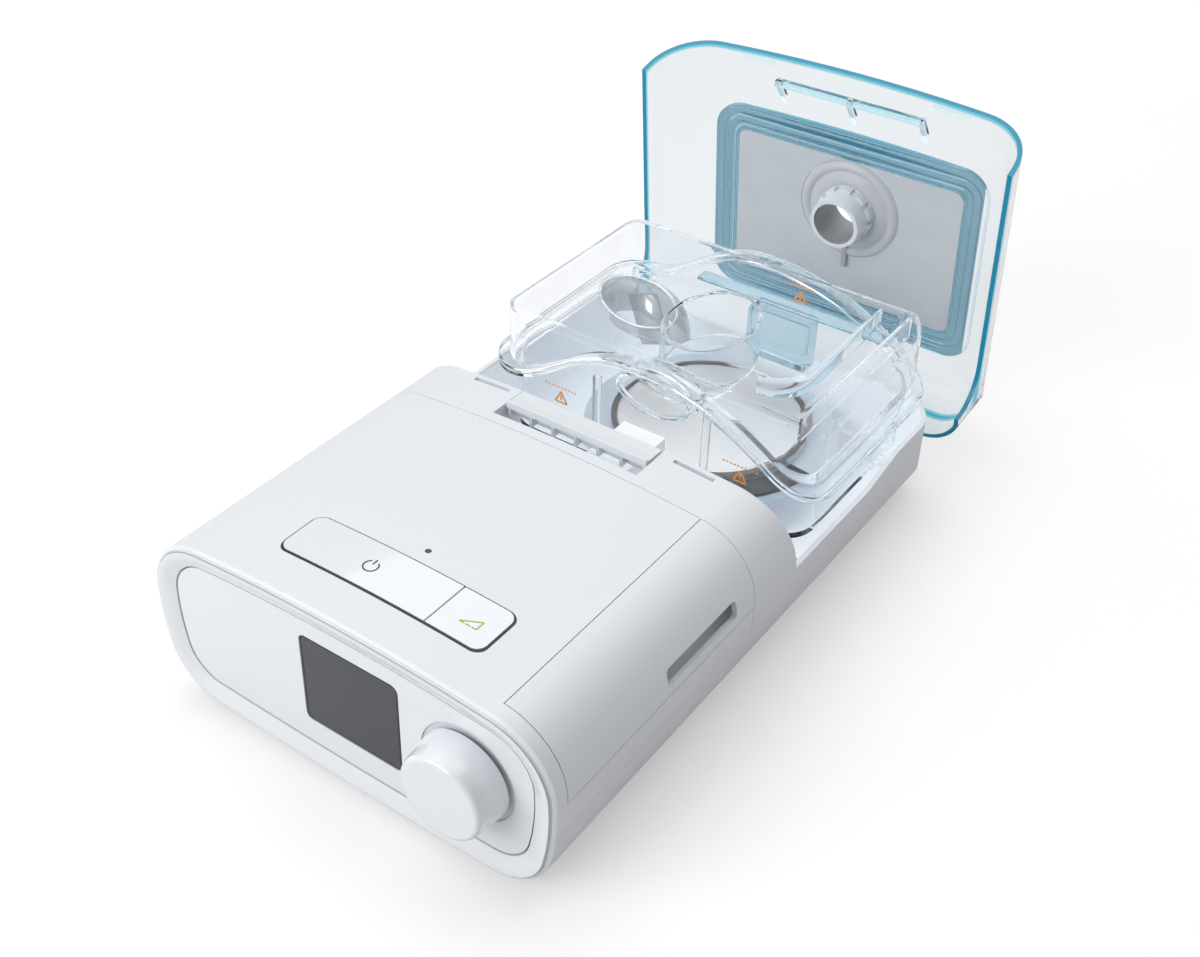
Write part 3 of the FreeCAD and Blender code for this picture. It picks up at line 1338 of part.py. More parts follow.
os.makedirs("parts", exist_ok=True)
whole = FreeCAD.BoundBox()
for piece in PIECES:
    piece.Shape.exportStep("parts/%s.step" % piece.Label)
    whole.add(piece.Shape.BoundBox)
    print("%-18s solids %d  volume %.1f" % (piece.Label, len(piece.Shape.Solids), piece.Shape.Volume))
print("pieces %d  box %s" % (len(PIECES), whole))
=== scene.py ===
# %% [markdown]
# # A bedside breathing machine, with its lid open
# The machine is a white moulded case with a glossy face, a round dial and two long keys. Behind it sits a
# water tank under a see-through lid. The construction comes ready made and at its real size, so this lesson
# is about finish: soft edges, plastics, clear walls, small trims, light and the camera.

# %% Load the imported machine
import json
import math

import bmesh
import bpy
from mathutils import Matrix, Vector

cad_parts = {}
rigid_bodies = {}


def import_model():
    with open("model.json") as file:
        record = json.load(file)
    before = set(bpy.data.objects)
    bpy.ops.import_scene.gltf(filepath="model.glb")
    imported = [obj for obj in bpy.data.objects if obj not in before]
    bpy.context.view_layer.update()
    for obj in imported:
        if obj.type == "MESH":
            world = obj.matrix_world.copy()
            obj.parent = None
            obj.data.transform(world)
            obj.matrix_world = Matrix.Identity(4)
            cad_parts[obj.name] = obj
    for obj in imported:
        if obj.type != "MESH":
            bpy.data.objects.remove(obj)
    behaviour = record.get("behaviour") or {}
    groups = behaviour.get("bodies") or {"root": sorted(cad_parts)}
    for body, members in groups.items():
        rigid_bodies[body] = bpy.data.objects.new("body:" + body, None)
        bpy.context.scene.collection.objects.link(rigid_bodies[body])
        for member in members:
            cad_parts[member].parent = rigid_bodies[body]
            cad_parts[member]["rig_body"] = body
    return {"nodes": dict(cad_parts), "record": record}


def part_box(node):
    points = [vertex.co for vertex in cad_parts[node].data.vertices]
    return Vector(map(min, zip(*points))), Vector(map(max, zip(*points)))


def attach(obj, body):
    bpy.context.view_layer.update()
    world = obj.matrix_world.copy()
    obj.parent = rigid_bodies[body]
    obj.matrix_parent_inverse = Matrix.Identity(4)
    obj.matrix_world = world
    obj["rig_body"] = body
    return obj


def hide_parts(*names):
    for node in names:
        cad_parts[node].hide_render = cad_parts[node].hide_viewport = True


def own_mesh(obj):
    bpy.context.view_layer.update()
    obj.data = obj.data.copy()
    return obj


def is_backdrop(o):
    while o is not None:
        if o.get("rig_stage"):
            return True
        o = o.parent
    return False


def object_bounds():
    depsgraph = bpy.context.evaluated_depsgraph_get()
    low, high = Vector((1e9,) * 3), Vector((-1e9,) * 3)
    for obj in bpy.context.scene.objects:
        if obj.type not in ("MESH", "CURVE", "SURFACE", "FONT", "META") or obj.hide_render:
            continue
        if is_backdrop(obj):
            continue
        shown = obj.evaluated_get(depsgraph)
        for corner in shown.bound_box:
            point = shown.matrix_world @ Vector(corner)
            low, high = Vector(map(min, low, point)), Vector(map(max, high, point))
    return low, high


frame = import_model()
CAD_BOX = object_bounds()
MM = 0.001
scene = bpy.context.scene
scene.view_settings.view_transform = "Standard"
print("pieces in the packed machine:", len(frame["nodes"]))

# %% [markdown]
# ## Places on the machine
# Every length is counted in millimetres from the rim of the face, because that rim is the easiest line to measure
# from on the real machine. The lid is packed open. Its hinge gives the turn between open and shut, so a piece of
# the lid can be drawn in its shut place, where it is level, and then turned up.

# %% Places on the machine
DIAL_REACH = 13.2  # the dial stands this far in front of the rim
FACE_TO_ORIGIN = -CAD_BOX[0][1] / MM - DIAL_REACH


def spot(x, y, z):
    """A place on the machine, in metres, from millimetres counted from the rim of its face."""
    return Vector((x, y - FACE_TO_ORIGIN, z)) * MM


lid_hinge = next(j for j in frame["record"]["behaviour"]["joints"] if j["name"] == "lid_hinge")
HINGE = Vector(lid_hinge["pos_m"])
LID_OPEN = math.radians(lid_hinge["range_deg"][1])
OPENED = Matrix.Translation(HINGE) @ Matrix.Rotation(-LID_OPEN, 4, "X") @ Matrix.Translation(-HINGE)
SHUT = OPENED.inverted()
print("face rim to origin in mm:", round(FACE_TO_ORIGIN, 3), " lid opens by", round(math.degrees(LID_OPEN)))

# %% [markdown]
# ## Camera
# A product picture is taken from above one corner with a normal lens, so that the top, the face and one side all
# show. The small shift moves the frame without turning the machine.

# %% Camera
EYE = spot(297.9, -280.419, 452.2)
TILT = [math.radians(a) for a in (54.253, -0.837, 36.087)]
FOCAL = 46.62
FRAME_SHIFT = (0.03, -0.03)

camera_data = bpy.data.cameras.new("camera")
camera_data.lens = FOCAL
camera_data.sensor_width = 36
camera_data.shift_x, camera_data.shift_y = FRAME_SHIFT
camera_data.clip_start = 0.01
camera = bpy.data.objects.new("camera", camera_data)
camera.location = EYE
camera.rotation_euler = TILT
scene.collection.objects.link(camera)
scene.camera = camera
print("camera at", [round(v, 3) for v in EYE])

# %% [markdown]
# ## Light
# The soft, even look comes from big soft boxes: one above, one in front and a weak one behind. The room adds a
# faint cool light from all round. The camera, and whatever it sees through clear walls, gets plain white instead,
# as in a picture taken against a white sheet.

# %% Soft lamps and the room
WORLD_LEVEL = 0.31
ROOM_TINT = (0.95, 0.975, 1.0)
LAMPS = (  # name, place, aim, size in metres, power in watts
    ("over_lamp", (-0.32, 0.3, 1.42), (0, 0.03, 0.05), 1.7, 13.9),
    ("front_lamp", (-0.55, -1.3, 0.7), (0, -0.1, 0.05), 1.1, 13.6),
    ("back_lamp", (0.5, 1.0, 1.1), (0, 0.1, 0.05), 0.8, 2.4))


def soft_lamp(name, place, aim, size, power):
    """A square soft box that points at a spot."""
    data = bpy.data.lights.new(name, "AREA")
    data.size = size
    data.energy = power
    lamp = bpy.data.objects.new(name, data)
    lamp.location = place
    lamp.rotation_euler = (Vector(aim) - Vector(place)).to_track_quat("-Z", "Y").to_euler()
    scene.collection.objects.link(lamp)


for lamp_values in LAMPS:
    soft_lamp(*lamp_values)

world = bpy.data.worlds.new("room")
world.use_nodes = True
scene.world = world
wires = world.node_tree
backdrop = wires.nodes["Background"]
seen = wires.nodes.new("ShaderNodeLightPath")
level = wires.nodes.new("ShaderNodeMix")
level.inputs["A"].default_value = WORLD_LEVEL
level.inputs["B"].default_value = 1.0
either = wires.nodes.new("ShaderNodeMath")
either.operation = "MAXIMUM"
wires.links.new(seen.outputs["Is Camera Ray"], either.inputs[0])
wires.links.new(seen.outputs["Is Transmission Ray"], either.inputs[1])
wires.links.new(either.outputs[0], level.inputs["Factor"])
wires.links.new(level.outputs["Result"], backdrop.inputs["Strength"])
shade = wires.nodes.new("ShaderNodeMix")
shade.data_type = "RGBA"
shade.inputs["A"].default_value = (*ROOM_TINT, 1)
shade.inputs["B"].default_value = (1, 1, 1, 1)
wires.links.new(either.outputs[0], shade.inputs["Factor"])
wires.links.new(shade.outputs["Result"], backdrop.inputs["Color"])

# %% [markdown]
# ## Floor
# The floor is a big pale sheet. The camera sees it a little brighter than the light makes it, so it runs into
# white and keeps the shadow. Far from the machine the lift grows until no horizon is left.

# %% Floor
FLOOR_REACH = 5.0
FLOOR_COLOUR = (0.73, 0.71, 0.705)
FLOOR_LIFT, FAR_LIFT = 0.34, 1.1
FLOOR_NEAR, FLOOR_FAR = 0.6, 1.8


def floor_material():
    material = bpy.data.materials.new("floor_sheet")
    material.use_nodes = True
    tree = material.node_tree
    shader = tree.nodes["Principled BSDF"]
    shader.inputs["Base Color"].default_value = (*FLOOR_COLOUR, 1)
    shader.inputs["Roughness"].default_value = 0.9
    shader.inputs["Specular IOR Level"].default_value = 0.0
    shader.inputs["Emission Color"].default_value = (1, 1, 1, 1)
    path = tree.nodes.new("ShaderNodeLightPath")
    most = tree.nodes.new("ShaderNodeMath")
    most.operation = "MAXIMUM"
    lift = tree.nodes.new("ShaderNodeMath")
    lift.operation = "MULTIPLY"
    tree.links.new(path.outputs["Is Camera Ray"], most.inputs[0])
    tree.links.new(path.outputs["Is Transmission Ray"], most.inputs[1])
    place = tree.nodes.new("ShaderNodeTexCoord")
    length = tree.nodes.new("ShaderNodeVectorMath")
    length.operation = "LENGTH"
    far = tree.nodes.new("ShaderNodeMapRange")
    far.interpolation_type = "SMOOTHSTEP"
    far.inputs["From Min"].default_value = FLOOR_NEAR
    far.inputs["From Max"].default_value = FLOOR_FAR
    far.inputs["To Min"].default_value = FLOOR_LIFT
    far.inputs["To Max"].default_value = FAR_LIFT
    tree.links.new(place.outputs["Object"], length.inputs[0])
    tree.links.new(length.outputs["Value"], far.inputs["Value"])
    tree.links.new(far.outputs["Result"], lift.inputs[1])
    tree.links.new(most.outputs[0], lift.inputs[0])
    tree.links.new(lift.outputs[0], shader.inputs["Emission Strength"])
    return material


sheet = bmesh.new()
bmesh.ops.create_grid(sheet, x_segments=1, y_segments=1, size=FLOOR_REACH)
floor_mesh = bpy.data.meshes.new("floor")
sheet.to_mesh(floor_mesh)
sheet.free()
floor_mesh.materials.append(floor_material())
floor = bpy.data.objects.new("floor", floor_mesh)
scene.collection.objects.link(floor)
floor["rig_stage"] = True
print("floor reaches", FLOOR_REACH, "m each way")

# %% [markdown]
# ## Finishes
# Moulded plastic is never quite even: the tool leaves a fine grain, and the gloss drifts a little from place to
# place. One shared node group makes both, and each plastic sets its own grain size and depth.

# %% Shared grain
def group_socket(tree, name, way, kind, value=None):
    socket = tree.interface.new_socket(name=name, in_out=way, socket_type=kind)
    if value is not None:
        socket.default_value = value


def make_grain_group():
    tree = bpy.data.node_groups.new("moulded_grain", "ShaderNodeTree")
    group_socket(tree, "Colour", "INPUT", "NodeSocketColor", (1, 1, 1, 1))
    group_socket(tree, "Drift", "INPUT", "NodeSocketFloat", 0.02)
    group_socket(tree, "Drift Size", "INPUT", "NodeSocketFloat", 14.0)
    group_socket(tree, "Gloss", "INPUT", "NodeSocketFloat", 0.3)
    group_socket(tree, "Gloss Drift", "INPUT", "NodeSocketFloat", 0.05)
    group_socket(tree, "Grain Size", "INPUT", "NodeSocketFloat", 1200.0)
    group_socket(tree, "Grain Depth", "INPUT", "NodeSocketFloat", 0.1)
    group_socket(tree, "Colour", "OUTPUT", "NodeSocketColor")
    group_socket(tree, "Roughness", "OUTPUT", "NodeSocketFloat")
    group_socket(tree, "Normal", "OUTPUT", "NodeSocketVector")
    enter = tree.nodes.new("NodeGroupInput")
    leave = tree.nodes.new("NodeGroupOutput")
    place = tree.nodes.new("ShaderNodeTexCoord")
    broad = tree.nodes.new("ShaderNodeTexNoise")
    broad.inputs["Detail"].default_value = 3.0
    fine = tree.nodes.new("ShaderNodeTexNoise")
    fine.inputs["Detail"].default_value = 2.0
    bump = tree.nodes.new("ShaderNodeBump")
    bump.inputs["Distance"].default_value = 0.0002
    dark = tree.nodes.new("ShaderNodeMix")
    dark.data_type = "RGBA"
    dark.blend_type = "MULTIPLY"
    drift = tree.nodes.new("ShaderNodeMath")
    drift.operation = "MULTIPLY"
    gloss = tree.nodes.new("ShaderNodeMath")
    gloss.operation = "MULTIPLY_ADD"
    link = tree.links.new
    link(place.outputs["Object"], broad.inputs["Vector"])
    link(place.outputs["Object"], fine.inputs["Vector"])
    link(enter.outputs["Drift Size"], broad.inputs["Scale"])
    link(enter.outputs["Grain Size"], fine.inputs["Scale"])
    link(broad.outputs["Fac"], drift.inputs[0])
    link(enter.outputs["Drift"], drift.inputs[1])
    link(drift.outputs[0], dark.inputs["Factor"])
    link(enter.outputs["Colour"], dark.inputs["A"])
    dark.inputs["B"].default_value = (0.0, 0.0, 0.0, 1)
    link(dark.outputs["Result"], leave.inputs["Colour"])
    link(broad.outputs["Fac"], gloss.inputs[0])
    link(enter.outputs["Gloss Drift"], gloss.inputs[1])
    link(enter.outputs["Gloss"], gloss.inputs[2])
    link(gloss.outputs[0], leave.inputs["Roughness"])
    link(fine.outputs["Fac"], bump.inputs["Height"])
    link(enter.outputs["Grain Depth"], bump.inputs["Strength"])
    link(bump.outputs["Normal"], leave.inputs["Normal"])
    return tree


GRAIN = make_grain_group()


def start_material(name, colour, gloss, drift=0.02, grain=1200.0, depth=0.1, gloss_drift=0.05,
                   drift_size=14.0):
    """A Principled material whose colour, roughness and normal come from the shared grain."""
    material = bpy.data.materials.new(name)
    material.use_nodes = True
    tree = material.node_tree
    shader = tree.nodes["Principled BSDF"]
    node = tree.nodes.new("ShaderNodeGroup")
    node.node_tree = GRAIN
    node.inputs["Colour"].default_value = (*colour, 1)
    node.inputs["Drift"].default_value = drift
    node.inputs["Drift Size"].default_value = drift_size
    node.inputs["Gloss"].default_value = gloss
    node.inputs["Gloss Drift"].default_value = gloss_drift
    node.inputs["Grain Size"].default_value = grain
    node.inputs["Grain Depth"].default_value = depth
    tree.links.new(node.outputs["Colour"], shader.inputs["Base Color"])
    tree.links.new(node.outputs["Roughness"], shader.inputs["Roughness"])
    tree.links.new(node.outputs["Normal"], shader.inputs["Normal"])
    return material, shader


print("grain group has", len(GRAIN.nodes), "nodes")

# %% [markdown]
# ## Solid plastics, rubber, print and metal
# The case is satin white. Its face and keys are glossy, which shows as a sharper highlight and a thin coat. The
# screen is dark glass. The pad, the soft seal and the prints have tones of their own. The bay under the tank is
# white plastic. Its white is painted lighter and given a faint glow, as painted light against the shade in the bay.

# %% Solid plastics, rubber and print
satin_white, _ = start_material("satin_white", (0.79, 0.82, 0.855), 0.34, 0.015, 1500, 0.12)
gloss_white, gloss_shader = start_material("gloss_white", (0.83, 0.86, 0.895), 0.12, 0.01, 300, 0.01, 0.02)
gloss_shader.inputs["Coat Weight"].default_value = 0.6
gloss_shader.inputs["Coat Roughness"].default_value = 0.03
# Grey painted shade for the thin gap round the bezel, put on the bezel's bevel.
gap_shade_grey, _ = start_material("gap_shade_grey", (0.42, 0.44, 0.47), 0.35, 0.03, 900, 0.05)
# A lighter white with a faint glow: painted light that lifts the shade in the bay under the tank; hidden inner
# parts share it.
inner_white, inner_shader = start_material("inner_white", (0.86, 0.90, 0.94), 0.42, 0.04, 1100, 0.15)
inner_shader.inputs["Emission Color"].default_value = (0.93, 0.96, 1, 1)
inner_shader.inputs["Emission Strength"].default_value = 0.12
inner_blue, _ = start_material("inner_blue", (0.60, 0.68, 0.75), 0.42, 0.08, 1100, 0.15)
soft_grey, _ = start_material("soft_grey", (0.42, 0.46, 0.49), 0.6, 0.05, 900, 0.3)
pad_grey, _ = start_material("pad_grey", (0.64, 0.68, 0.72), 0.5, 0.16, 700, 0.2, 0.1, 60.0)
seal_grey, _ = start_material("seal_grey", (0.58, 0.61, 0.64), 0.32, 0.04, 700, 0.05)
deep_black, _ = start_material("deep_black", (0.018, 0.02, 0.024), 0.4, 0.1, 900, 0.2)
screen_glass, screen_shader = start_material("screen_glass", (0.040, 0.046, 0.060), 0.25, 0.05, 60, 0.0, 0.02)
screen_shader.inputs["Coat Weight"].default_value = 0.4
screen_shader.inputs["Coat Roughness"].default_value = 0.03
screen_rim, _ = start_material("screen_rim", (0.02, 0.022, 0.027), 0.15, 0.02, 900, 0.02)
sensor_dark, _ = start_material("sensor_dark", (0.05, 0.055, 0.065), 0.2, 0.05, 900, 0.05)
board_green, _ = start_material("board_green", (0.02, 0.12, 0.06), 0.4, 0.1, 500, 0.1)
filter_fibre, _ = start_material("filter_fibre", (0.75, 0.76, 0.78), 0.9, 0.15, 2500, 1.0)
port_white, _ = start_material("port_white", (0.76, 0.80, 0.83), 0.3, 0.02, 1100, 0.1)
port_grey, _ = start_material("port_grey", (0.42, 0.44, 0.46), 0.4, 0.05, 1100, 0.1)
print_blue, _ = start_material("print_blue", (0.03, 0.07, 0.11), 0.4, 0.02, 900, 0.02)
print_lime, _ = start_material("print_lime", (0.46, 0.50, 0.03), 0.4, 0.02, 900, 0.02)
print_orange, _ = start_material("print_orange", (0.90, 0.34, 0.03), 0.4, 0.02, 900, 0.02)


def metal(name, colour, gloss, grain):
    material, shader = start_material(name, colour, gloss, 0.1, grain, 0.3, 0.12)
    shader.inputs["Metallic"].default_value = 1.0
    return material


plain_steel = metal("plain_steel", (0.55, 0.56, 0.58), 0.3, 900)
heater_metal = metal("heater_metal", (0.76, 0.77, 0.79), 0.45, 700)
disc_metal = metal("disc_metal", (0.66, 0.66, 0.665), 0.5, 700)
print("solid finishes ready")

# %% [markdown]
# ## Clear plastic
# A polished clear wall bends the light, so it is nearly unseen from straight on and draws bright and dark lines
# at its edges and corners. That is plain glass in the shader, with the bend of this plastic. Glass in Blender
# throws a full shadow, though, and a tank like this one is bright inside. So the alpha lets shadow rays and
# scattered light through. The lid is a faint blue green whose colour adds up to a strong one along its free
# edges, so those faces get a stronger tint of their own and a faint painted glow for the light run along the wall.

# %% Clear plastics
def clear_material(name, tint, gloss, bend=1.45, shade=0.12):
    """Clear plastic; shade is how much of the light it holds back where it casts a shadow."""
    material = bpy.data.materials.new(name)
    material.use_nodes = True
    tree = material.node_tree
    shader = tree.nodes["Principled BSDF"]
    shader.inputs["Base Color"].default_value = (*tint, 1)
    shader.inputs["Roughness"].default_value = gloss
    shader.inputs["Transmission Weight"].default_value = 1.0
    shader.inputs["IOR"].default_value = bend
    shader.inputs["Specular IOR Level"].default_value = 1.0
    path = tree.nodes.new("ShaderNodeLightPath")
    unseen = tree.nodes.new("ShaderNodeMath")
    unseen.operation = "MAXIMUM"
    solid = tree.nodes.new("ShaderNodeMix")
    solid.inputs["A"].default_value = 1.0
    solid.inputs["B"].default_value = shade
    tree.links.new(path.outputs["Is Shadow Ray"], unseen.inputs[0])
    tree.links.new(path.outputs["Is Diffuse Ray"], unseen.inputs[1])
    tree.links.new(unseen.outputs[0], solid.inputs["Factor"])
    tree.links.new(solid.outputs["Result"], shader.inputs["Alpha"])
    return material


clear_tank = clear_material("clear_tank", (0.955, 0.965, 0.975), 0.02, 1.2, 0.03)
clear_thin = clear_material("clear_thin", (0.95, 0.965, 0.975), 0.02, 1.1, 0.03)
clear_film = clear_material("clear_film", (0.95, 0.965, 0.975), 0.02, 1.06, 0.03)
clear_lid = clear_material("clear_lid", (0.80, 0.845, 0.87), 0.02, 1.18, 0.1)
clear_bar = clear_material("clear_bar", (0.62, 0.84, 0.90), 0.05, 1.25, 0.2)
frame_blue = clear_material("frame_blue", (0.28, 0.44, 0.52), 0.10, 1.2, 0.4)
bead_clear = clear_material("bead_clear", (0.80, 0.93, 0.97), 0.04, 1.33, 0.2)
frame_rib = clear_material("frame_rib", (0.16, 0.42, 0.56), 0.15, 1.1, 0.4)
silver_duct, duct_shader = start_material("silver_duct", (0.70, 0.73, 0.76), 0.10, 0.15, 300, 0.2, 0.1, 60.0)
duct_shader.inputs["Alpha"].default_value = 0.55
duct_shader.inputs["Metallic"].default_value = 0.6
pocket_blue = clear_material("pocket_blue", (0.64, 0.80, 0.87), 0.08, 1.2, 0.3)
# The free edges: a strong teal and a faint painted glow, which stands for light run along the wall.
lid_edge, edge_shader = start_material("lid_edge", (0.0, 0.215, 0.36), 0.2, 0.02, 900, 0.02)
edge_shader.inputs["Emission Color"].default_value = (0.0, 0.35, 0.5, 1)
edge_shader.inputs["Emission Strength"].default_value = 0.12
# Light crosses many clear walls here, and the usual limits leave their edges black.
scene.cycles.max_bounces = 24
scene.cycles.glossy_bounces = 20
scene.cycles.transmission_bounces = 20
scene.cycles.transparent_max_bounces = 24
print("clear finishes ready")

# %% [markdown]
# ## Soft edges
# No moulded edge is perfectly sharp, and the small highlight along each one is what makes a part look real.
# Each visible piece is a merged copy of the imported solid with a narrow bevel on what is sharp. Weighted normals
# keep its flat faces flat up to that bevel. The bevel may take a finish of its own, such as painted shade in a thin
# gap.

# %% Softened copies
DRESSED = {}
FLAT_ANGLE = math.radians(0.5)
SHARP_JOIN = 35  # degrees; a new piece keeps an edge sharp above this


def add_weighted(piece):
    even = piece.modifiers.new("even_normals", "WEIGHTED_NORMAL")
    even.keep_sharp = True
    even.weight = 50


def softened(node, materials, width=0.35, segments=2, angle=30, choose=None, edge_material=-1, flat=False):
    """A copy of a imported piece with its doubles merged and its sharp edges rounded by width, in millimetres.

    choose picks a face's finish, and edge_material is that of the rounded edges. flat joins the triangles of each
    flat face, for a glossy or clear piece in which their edges would show.
    """
    source = frame["nodes"][node]
    work = bmesh.new()
    work.from_mesh(source.data)
    bmesh.ops.remove_doubles(work, verts=work.verts, dist=2e-6)
    if flat:
        bmesh.ops.dissolve_limit(work, angle_limit=FLAT_ANGLE, verts=work.verts[:], edges=work.edges[:])
    for face in work.faces:
        face.smooth = True
        face.material_index = choose(face) if choose else 0
    for edge in work.edges:
        edge.smooth = len(edge.link_faces) != 2 or edge.calc_face_angle(0) < math.radians(angle)
    mesh = bpy.data.meshes.new(node + "_skin")
    work.to_mesh(mesh)
    work.free()
    for material in materials:
        mesh.materials.append(material)
    piece = bpy.data.objects.new(node + "_skin", mesh)
    scene.collection.objects.link(piece)
    if width:
        bevel = piece.modifiers.new("soft_edge", "BEVEL")
        bevel.width = width * MM
        bevel.segments = segments
        bevel.limit_method = "ANGLE"
        bevel.angle_limit = math.radians(angle)
        bevel.material = edge_material
    add_weighted(piece)
    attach(piece, source["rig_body"])
    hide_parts(node)
    DRESSED[node] = piece
    return piece


def paint(node, material):
    """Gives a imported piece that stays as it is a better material."""
    mesh = frame["nodes"][node].data
    mesh.materials.clear()
    mesh.materials.append(material)


def new_piece(work, name, body, material, turn=None, smooth=True, width=0.0):
    """Makes a finished shape a piece of the machine; turn brings a piece of the shut lid to its open place."""
    bmesh.ops.remove_doubles(work, verts=work.verts, dist=1e-6)
    bmesh.ops.recalc_face_normals(work, faces=work.faces)
    if turn is not None:
        bmesh.ops.transform(work, matrix=turn, verts=work.verts)
    for face in work.faces:
        face.smooth = smooth
    for edge in work.edges:
        edge.smooth = len(edge.link_faces) != 2 or edge.calc_face_angle(0) < math.radians(SHARP_JOIN)
    mesh = bpy.data.meshes.new(name)
    work.to_mesh(mesh)
    work.free()
    mesh.materials.append(material)
    piece = bpy.data.objects.new(name, mesh)
    scene.collection.objects.link(piece)
    if width:
        bevel = piece.modifiers.new("soft_edge", "BEVEL")
        bevel.width = width * MM
        bevel.segments = 2
        bevel.limit_method = "ANGLE"
    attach(piece, body)
    return piece


print("helpers ready for", len(frame["nodes"]), "packed pieces")

# %% [markdown]
# ## The white case
# The case is two shells that meet in a low seam, with a glossy bezel and face panel in front. The faces in the
# bay under the tank are painted a lighter white that glows a little, as painted light against the shade there, and
# they are found by their place and direction. The bezel's bevel is painted grey as the shade in the gap between
# bezel and panel, which is too thin to go dark by itself.

# %% The white case
BAY_FRONT, BAY_HALF, BAY_TOP = 153.0, 95.0, 46.5
BAY_MIDDLE = Vector((0, 230, 60))


def inside_bay(face):
    """The second finish, a lighter white with a faint painted glow, is for what faces into the bay under the tank.
    """
    middle = face.calc_center_median() / MM
    y = middle.y + FACE_TO_ORIGIN
    inward = (BAY_MIDDLE - Vector((middle.x, y, middle.z))).normalized()
    deep = y > BAY_FRONT and middle.z < BAY_TOP and abs(middle.x) < BAY_HALF
    return 1 if deep and face.normal.dot(inward) > 0.15 else 0


softened("top_housing", (satin_white,), 0.4)
softened("bottom_housing", (satin_white,), 0.4)
softened("humidifier_base", (satin_white, inner_white), 0.5, choose=inside_bay)
softened("side_door", (satin_white,), 0.5)
# The bezel's bevel is painted grey as the shade in its gap.
softened("front_bezel", (gloss_white, gap_shade_grey), 0.5, 2, edge_material=1)
softened("face_panel", (gloss_white,), 0.4)
softened("latch_lever", (gloss_white,), 0.3)
for name in ("power_key", "ramp_key"):
    softened(name, (gloss_white,), 0.6, 3)
softened("dial", (gloss_white,), 0.5, 3)
softened("screen_lens", (screen_glass, screen_rim), 0.4, edge_material=1, flat=True)
print("white case:", len(DRESSED), "pieces")

# %% [markdown]
# ## The dark line round the screen
# The lens has a black border with rounded corners. An image could do this, but a thin raised ring keeps its
# edge sharp at any size. Two rounded plates are bridged, and the ring between them is given height.

# %% Dark line round the screen
LONG_SIDE, SIDE_CUTS = 12, 15  # long sides are cut up, so that the ring can follow a crowned surface


def rounded_plate(work, x, y, corner):
    """A flat plate between two corners, in metres, with its four corners rounded."""
    plate = bmesh.ops.create_grid(work, x_segments=1, y_segments=1, size=0.5)["verts"]
    size = Matrix.Diagonal((x[1] - x[0], y[1] - y[0], 1, 1))
    place = Matrix.Translation(((x[0] + x[1]) / 2, (y[0] + y[1]) / 2, 0))
    bmesh.ops.transform(work, matrix=place @ size, verts=plate)
    bmesh.ops.bevel(work, geom=plate, offset=corner * MM, affect="VERTICES", segments=8, profile=0.5, material=-1)


def raised_ring(work, high):
    """Joins two rounded plates into the ring between them and gives it its height."""
    bmesh.ops.delete(work, geom=work.faces[:], context="FACES_ONLY")
    bmesh.ops.bridge_loops(work, edges=work.edges[:])
    long_edges = [e for e in work.edges if e.calc_length() > LONG_SIDE * MM]
    bmesh.ops.subdivide_edges(work, edges=long_edges, cuts=SIDE_CUTS, use_grid_fill=True)
    made = bmesh.ops.extrude_face_region(work, geom=work.faces[:])["geom"]
    top = [v for v in made if isinstance(v, bmesh.types.BMVert)]
    bmesh.ops.translate(work, vec=(0, 0, high * MM), verts=top)


SCREEN_LINE, SCREEN_CORNER, SCREEN_INSET = 0.75, 2.2, 0.15
LINE_HIGH, LINE_SINK = 0.12, 0.1
low, high = (Vector(v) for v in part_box("screen_lens"))
work = bmesh.new()
for inset in (SCREEN_INSET, SCREEN_INSET + SCREEN_LINE):
    rounded_plate(work, (low.x + inset * MM, high.x - inset * MM), (low.z + inset * MM, high.z - inset * MM),
                  SCREEN_CORNER - inset)
raised_ring(work, LINE_HIGH)
upright = Matrix.Translation((0, low.y + LINE_SINK * MM, 0)) @ Matrix.Rotation(math.pi / 2, 4, "X")
bmesh.ops.transform(work, matrix=upright, verts=work.verts)
new_piece(work, "screen_line", "base", screen_rim, smooth=False)
print("screen line at y in mm:", round(low.y / MM, 2))

# %% [markdown]
# ## What the case hides
# Boards, blower, filter and motor show only when the machine is opened or looked into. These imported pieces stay
# as they are and only get a finish. So do the feet.

# %% Everything inside
FEET, SPRINGS = 6, 3
for node, material in {
        "key_tray": deep_black, "screen_module": deep_black, "face_board": board_green, "key_board": board_green,
        "main_board": board_green, "encoder": inner_white, "switch_1": deep_black, "switch_2": deep_black,
        "sensor_lens": sensor_dark, "air_filter": filter_fibre, "filter_frame": inner_white,
        "blower_casing": inner_white, "blower_duct": inner_white, "blower_motor": plain_steel,
        "air_port": inner_white, "power_socket": deep_black, "latch_axle": plain_steel,
        "hinge_pin_left": plain_steel, "hinge_pin_right": plain_steel, "dial_shaft": plain_steel,
        "impeller": deep_black, "heater_plate": heater_metal, "heater_carrier": inner_blue}.items():
    paint(node, material)
for number in range(1, FEET + 1):
    paint("foot_%d" % number, soft_grey)
print("inner pieces painted")

# %% [markdown]
# ## Springs under the heater
# Three coil springs hold the heater up while the lid is open. The closing lid presses the heater and the tank
# down, and each coil has to shorten by that much. Each coil gets a softened copy with a mesh of its own, and the
# share of its height that it would keep is worked out, but the coils keep their full height here.

# %% Springs under the heater
press = next(j for j in frame["record"]["behaviour"]["joints"] if j["name"] == "heater_press")
for number in range(1, SPRINGS + 1):
    node = "heater_spring_%d" % number
    spring = softened(node, (plain_steel,), 0)
    low, high = (Vector(v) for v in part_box(node))
    rise = high.z - low.z
    left = (rise - press["range_m"][1]) / rise
    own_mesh(spring)
print("springs keep this share of their height:", round(left, 3))

